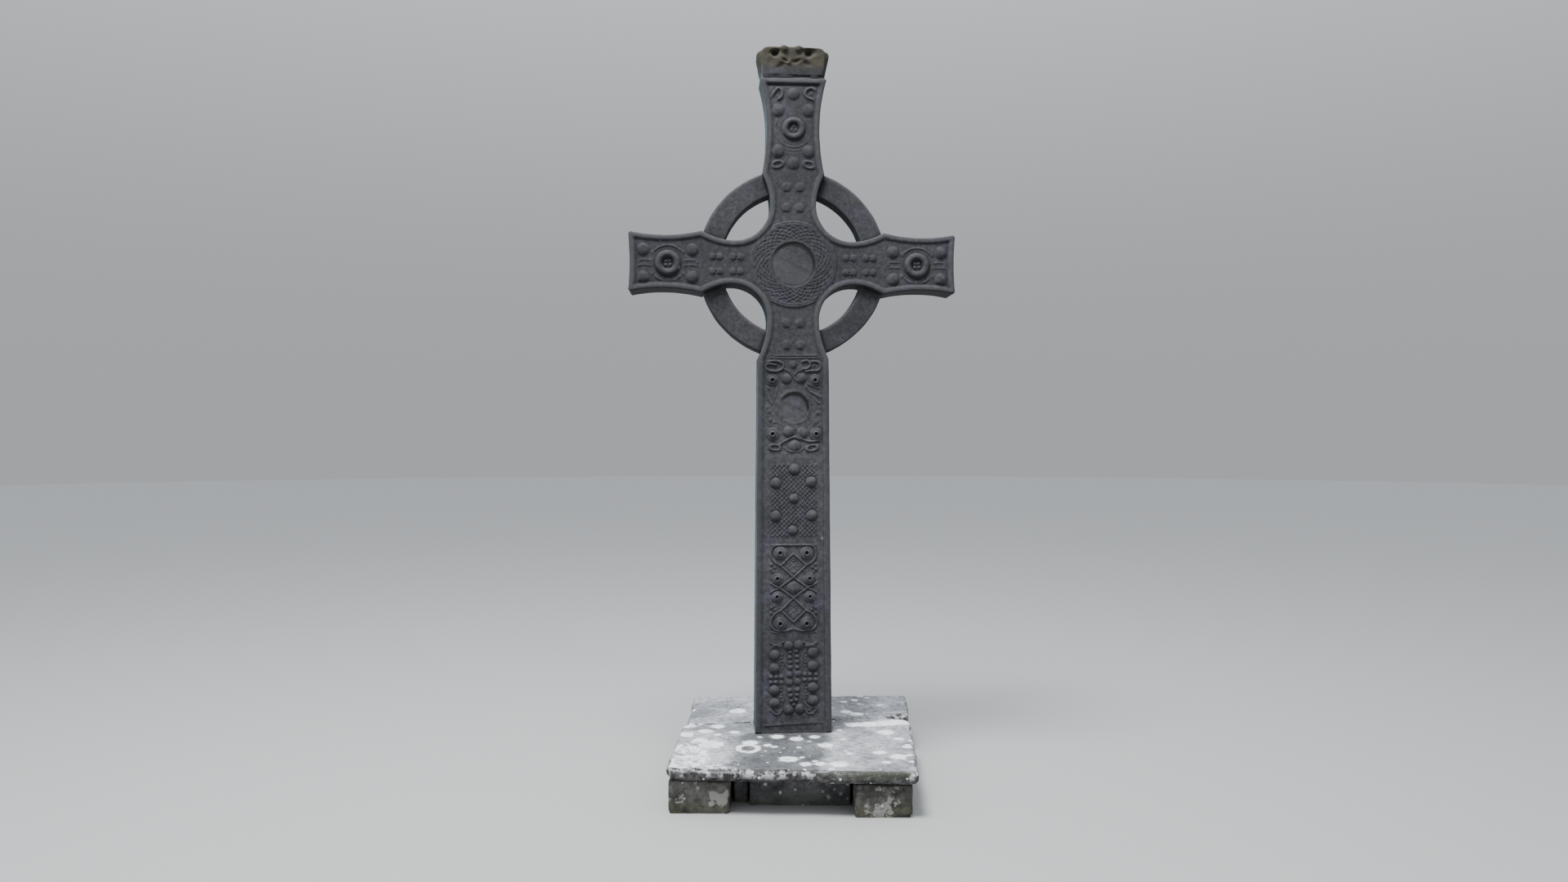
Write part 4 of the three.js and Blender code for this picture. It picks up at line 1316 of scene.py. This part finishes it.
GROWTHS = (
    (-0.687, 0.151, 0.10), (-0.495, 0.117, 0.09), (-0.577, 0.002, 0.09), (-0.389, -0.031, 0.065),
    (-0.497, -0.083, 0.05), (-0.699, -0.068, 0.11), (-0.613, -0.208, 0.105), (-0.535, -0.306, 0.155),
    (-0.111, -0.158, 0.085), (0.009, -0.223, 0.084), (0.126, -0.184, 0.064), (-0.185, -0.348, 0.052),
    (0.180, -0.374, 0.093), (-0.078, -0.650, 0.108), (0.306, -0.559, 0.04), (0.494, -0.555, 0.081),
    (0.594, -0.647, 0.099), (0.669, -0.260, 0.058), (0.610, -0.101, 0.108), (0.687, -0.445, 0.062),
    (0.741, -0.303, 0.042), (0.670, -0.619, 0.04), (0.660, -0.751, 0.04), (0.501, -0.756, 0.05),
    (-0.347, 0.520, 0.116), (-0.672, 0.566, 0.05), (0.433, 0.728, 0.05), (0.518, 0.771, 0.05),
    (0.578, 0.894, 0.05), (0.674, 0.913, 0.05), (0.687, 0.613, 0.047), (0.415, 0.444, 0.081),
    (0.481, 0.371, 0.092), (-0.291, -0.286, 0.10), (0.021, -0.755, 0.068), (0.103, -0.761, 0.068),
    (0.220, -0.769, 0.107),
)


def sharp_edge(co):
    """The right part of the front edge, where the cover slab is hardly chipped."""
    return smooth_step(-0.15, 0.0, co[:, 0]) * smooth_step(-0.6, -0.7, co[:, 1])


def paint_cover(obj):
    """Stores where lichen crusts, the painted shadow of the cross, damp and dark algae lie on a cover slab.
    """
    co = coordinates(obj)
    x, y, z = co.T
    ring = abs(np.hypot(x + 0.31, (y + 0.41) * 0.8) - 0.062) / 0.017
    crust = np.maximum(growth_mask(x, y, GROWTHS, 1.12), 1 - 0.5 * ring)
    drift = 0.16 * weather(co, 0.16, 71)
    left = smooth_step(-0.36, -0.56, x + drift) * smooth_step(-0.06, -0.28, y + drift)
    left *= 0.84 + 0.3 * weather(co, 0.09, 75)
    joint = smooth_step(0.30, 0.40, x + drift / 2)
    joint *= smooth_step(0.12, 0.03, abs(y + drift / 3 - 0.18 * x - 0.02))
    crust = np.maximum(crust, np.maximum(0.62 * left, 0.66 * joint))
    top = smooth_step(0.262, 0.274, z)
    low = smooth_step(0.283, 0.272, z) * smooth_step(0.225, 0.245, z)
    # Painted shadow of the cross: a band from its foot to the front edge, leaning left; it also adds a
    # little damp
    ahead = -0.1 - y
    painted_cross_shadow = smooth_step(0.33, 0.24, abs(x + 0.05 + 0.17 * ahead + 0.15 * drift))
    painted_cross_shadow *= smooth_step(-0.1, 0.0, ahead)
    fringe = smooth_step(0.10, 0.22, x) * smooth_step(0.66, 0.5, x) * smooth_step(-0.5, -0.7, y)
    store(obj, "crust", crust * top)
    store(obj, "damp", np.clip(0.36 * low + 0.5 * low * fringe + 0.2 * painted_cross_shadow * top, 0, 1))
    store(obj, "painted_cross_shadow", painted_cross_shadow * top)
    store(obj, "brow", smooth_step(0.21, 0.26, z) * (1 - 0.9 * fringe))


def dress(obj, material, slot, *nodes):
    """Gives a finished piece its stone, and ties it to the frame."""
    obj.data.materials.clear()
    obj.data.materials.append(material)
    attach(obj, "root")
    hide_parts(*nodes)


def build_stone(node, seed, broad, chips, material, slot):
    """One block or side slab of the plinth."""
    low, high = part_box(node)
    stone = stone_copy(node, "worn_" + node, STONE_VOXEL)
    rough(stone, low.z, high.z, seed, broad, chips)
    seat(stone, low.z)
    x, y, z = coordinates(stone).T
    front = (normals(stone)[:, 1] < -0.5) * (y < -0.4)
    store(stone, "growth", growth_mask(x, z, STONE_GROWTHS, 1.1) * front)
    finish_mesh(stone)
    dress(stone, material, slot, node)


class MEMORIAL_OT_cross(bpy.types.Operator):
    """Build the carved cross with its ring"""
    bl_idname = "memorial.cross"
    bl_label = "Carved cross"

    def execute(self, context):
        body = cross_slab()
        unite(body, ring_hoop())
        if len(body.data.polygons) < 1000:
            raise RuntimeError("the ring could not be joined to the cross")
        relief_light_and_wear_attribute(body, gain=95.0)
        carving_attributes(body)
        finish_mesh(body)
        dress(body, cross_stone(context.scene.memorial_cross), "cross_stone", "cross")
        return {"FINISHED"}


class MEMORIAL_OT_cap(bpy.types.Operator):
    """Build the cap stone on top of the cross"""
    bl_idname = "memorial.cap"
    bl_label = "Cap stone"

    def execute(self, context):
        low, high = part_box("cap_stone")
        cap = stone_copy("cap_stone", "worn_cap_stone", CAP_VOXEL)
        apply_modifier(cap, "SMOOTH", factor=0.5, iterations=14)
        carve_cap(cap, high)
        rough(cap, low.z, high.z, 51, 0.010, 0.008)
        seat(cap, low.z)
        relief_light_and_wear_attribute(cap, gain=60.0)
        finish_mesh(cap)
        stone = cross_stone(context.scene.memorial_cross, "olive_cap_stone", 0.75)
        dress(cap, stone, "cap_stone", "cap_stone")
        return {"FINISHED"}


class MEMORIAL_OT_covers(bpy.types.Operator):
    """Build the two cover slabs of the plinth"""
    bl_idname = "memorial.covers"
    bl_label = "Cover slabs"

    def execute(self, context):
        material = cover_stone(context.scene.memorial_plinth)
        for seed, node in ((61, "cover_slab_front"), (66, "cover_slab_back")):
            low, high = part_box(node)
            slab = stone_copy(node, "worn_" + node, STONE_VOXEL)
            rough(slab, low.z, high.z, seed, 0.005, 0.022, sharp_edge)
            paint_cover(slab)
            finish_mesh(slab)
            dress(slab, material, "cover_stone", node)
        return {"FINISHED"}


class MEMORIAL_OT_blocks(bpy.types.Operator):
    """Build the four corner blocks of the plinth"""
    bl_idname = "memorial.blocks"
    bl_label = "Corner blocks"

    def execute(self, context):
        settings = context.scene.memorial_plinth
        material = block_stone(settings, "rough_block_stone", settings.block_dark, settings.block_light,
                               0.42, 14.0)
        for seed, place in enumerate(("front_left", "front_right", "back_left", "back_right")):
            build_stone("corner_block_" + place, 81 + 7 * seed, 0.009, 0.020, material, "block_stone")
        return {"FINISHED"}


class MEMORIAL_OT_sides(bpy.types.Operator):
    """Build the upright side slabs and the packing stone"""
    bl_idname = "memorial.sides"
    bl_label = "Side slabs"

    def execute(self, context):
        settings = context.scene.memorial_plinth
        material = block_stone(settings, "damp_side_stone", settings.slab_dark, settings.slab_light,
                               0.30, 22.0)
        for seed, node in enumerate(("side_slab_front", "side_slab_left", "side_slab_right",
                                     "side_slab_back", "packing_stone_front")):
            build_stone(node, 121 + 7 * seed, 0.007, 0.012, material, "side_stone")
        return {"FINISHED"}


def pale_floor(settings):
    bpy.ops.object.select_all(action="DESELECT")
    bpy.ops.mesh.primitive_circle_add(vertices=96, radius=60, fill_type="NGON")
    floor = bpy.context.object
    floor.name = "floor"
    material = bpy.data.materials.new("pale_floor")
    material.use_nodes = True
    shader = material.node_tree.nodes["Principled BSDF"]
    shader.inputs["Base Color"].default_value = settings.floor
    shader.inputs["Roughness"].default_value = 0.95
    floor.data.materials.append(material)


def soft_sky(settings):
    """Light from all round, brighter and bluer overhead."""
    world = bpy.data.worlds.new("soft_sky")
    world.use_nodes = True
    back = world.node_tree.nodes["Background"]
    n = Nodes(world.node_tree)
    up = n.parts(n.add("ShaderNodeTexCoord").outputs["Generated"])[2]
    sky = n.blend(n.spread(up, 0.0, 1.0), colour(0.62, 0.64, 0.66), colour(1.0, 1.06, 1.14))
    strength = n.spread(up, 0.1, 0.9, 1.4 * settings.sky_strength, 3.0 * settings.sky_strength)
    n.tree.links.new(sky, back.inputs["Color"])
    n.tree.links.new(strength, back.inputs["Strength"])
    bpy.context.scene.world = world


def key_light(settings):
    """A large round lamp above the front, aimed at the middle of the cross."""
    light = bpy.data.lights.new("key", "AREA")
    light.shape = "DISK"
    light.size = 3.6
    light.energy = settings.key_power
    lamp = linked_object("key", light)
    lamp.location = (-2.0, -3.1, 10.8)
    aim = Vector((0.0, 0.0, 2.6)) - lamp.location
    lamp.rotation_euler = aim.to_track_quat("-Z", "Y").to_euler()


def front_camera(settings):
    """Stands where the photo was taken from, and looks level."""
    camera = bpy.data.cameras.new("camera")
    camera.lens = settings.lens
    camera.sensor_width = 36.0
    eye = linked_object("camera", camera)
    eye.location = (-0.551, -7.059, 2.197)
    eye.rotation_euler = (math.radians(90), 0, math.radians(-4))
    bpy.context.scene.camera = eye


class MEMORIAL_OT_stage(bpy.types.Operator):
    """Set the pale floor, the soft lights and the camera"""
    bl_idname = "memorial.stage"
    bl_label = "Stage"

    def execute(self, context):
        settings = context.scene.memorial_stage
        pale_floor(settings)
        soft_sky(settings)
        key_light(settings)
        front_camera(settings)
        return {"FINISHED"}


class MEMORIAL_PT_sidebar(bpy.types.Panel):
    """Lists the pieces of the memorial and their settings"""
    bl_idname = "MEMORIAL_PT_sidebar"
    bl_label = "Ringed cross memorial"
    bl_space_type = "VIEW_3D"
    bl_region_type = "UI"
    bl_category = "Memorial"

    def draw(self, context):
        layout = self.layout
        for operator in OPERATORS:
            layout.operator(operator.bl_idname)
        for name in GROUPS:
            group = getattr(context.scene, name)
            box = layout.box()
            for key in group.__annotations__:
                box.prop(group, key)


GROUPS = {"memorial_cross": MEMORIAL_PG_cross, "memorial_plinth": MEMORIAL_PG_plinth,
          "memorial_stage": MEMORIAL_PG_stage}
OPERATORS = (MEMORIAL_OT_cross, MEMORIAL_OT_cap, MEMORIAL_OT_covers, MEMORIAL_OT_blocks, MEMORIAL_OT_sides,
             MEMORIAL_OT_stage)


def register():
    for item in (*GROUPS.values(), *OPERATORS, MEMORIAL_PT_sidebar):
        bpy.utils.register_class(item)
    for name, group in GROUPS.items():
        setattr(bpy.types.Scene, name, bpy.props.PointerProperty(type=group))


def unregister():
    for name in GROUPS:
        delattr(bpy.types.Scene, name)
    for item in (MEMORIAL_PT_sidebar, *reversed(OPERATORS), *reversed(GROUPS.values())):
        bpy.utils.unregister_class(item)


def main():
    register()
    bpy.ops.memorial.cross()
    bpy.ops.memorial.cap()
    bpy.ops.memorial.covers()
    bpy.ops.memorial.blocks()
    bpy.ops.memorial.sides()
    bpy.ops.memorial.stage()
    bpy.context.view_layer.update()


if __name__ == "__main__":
    main()
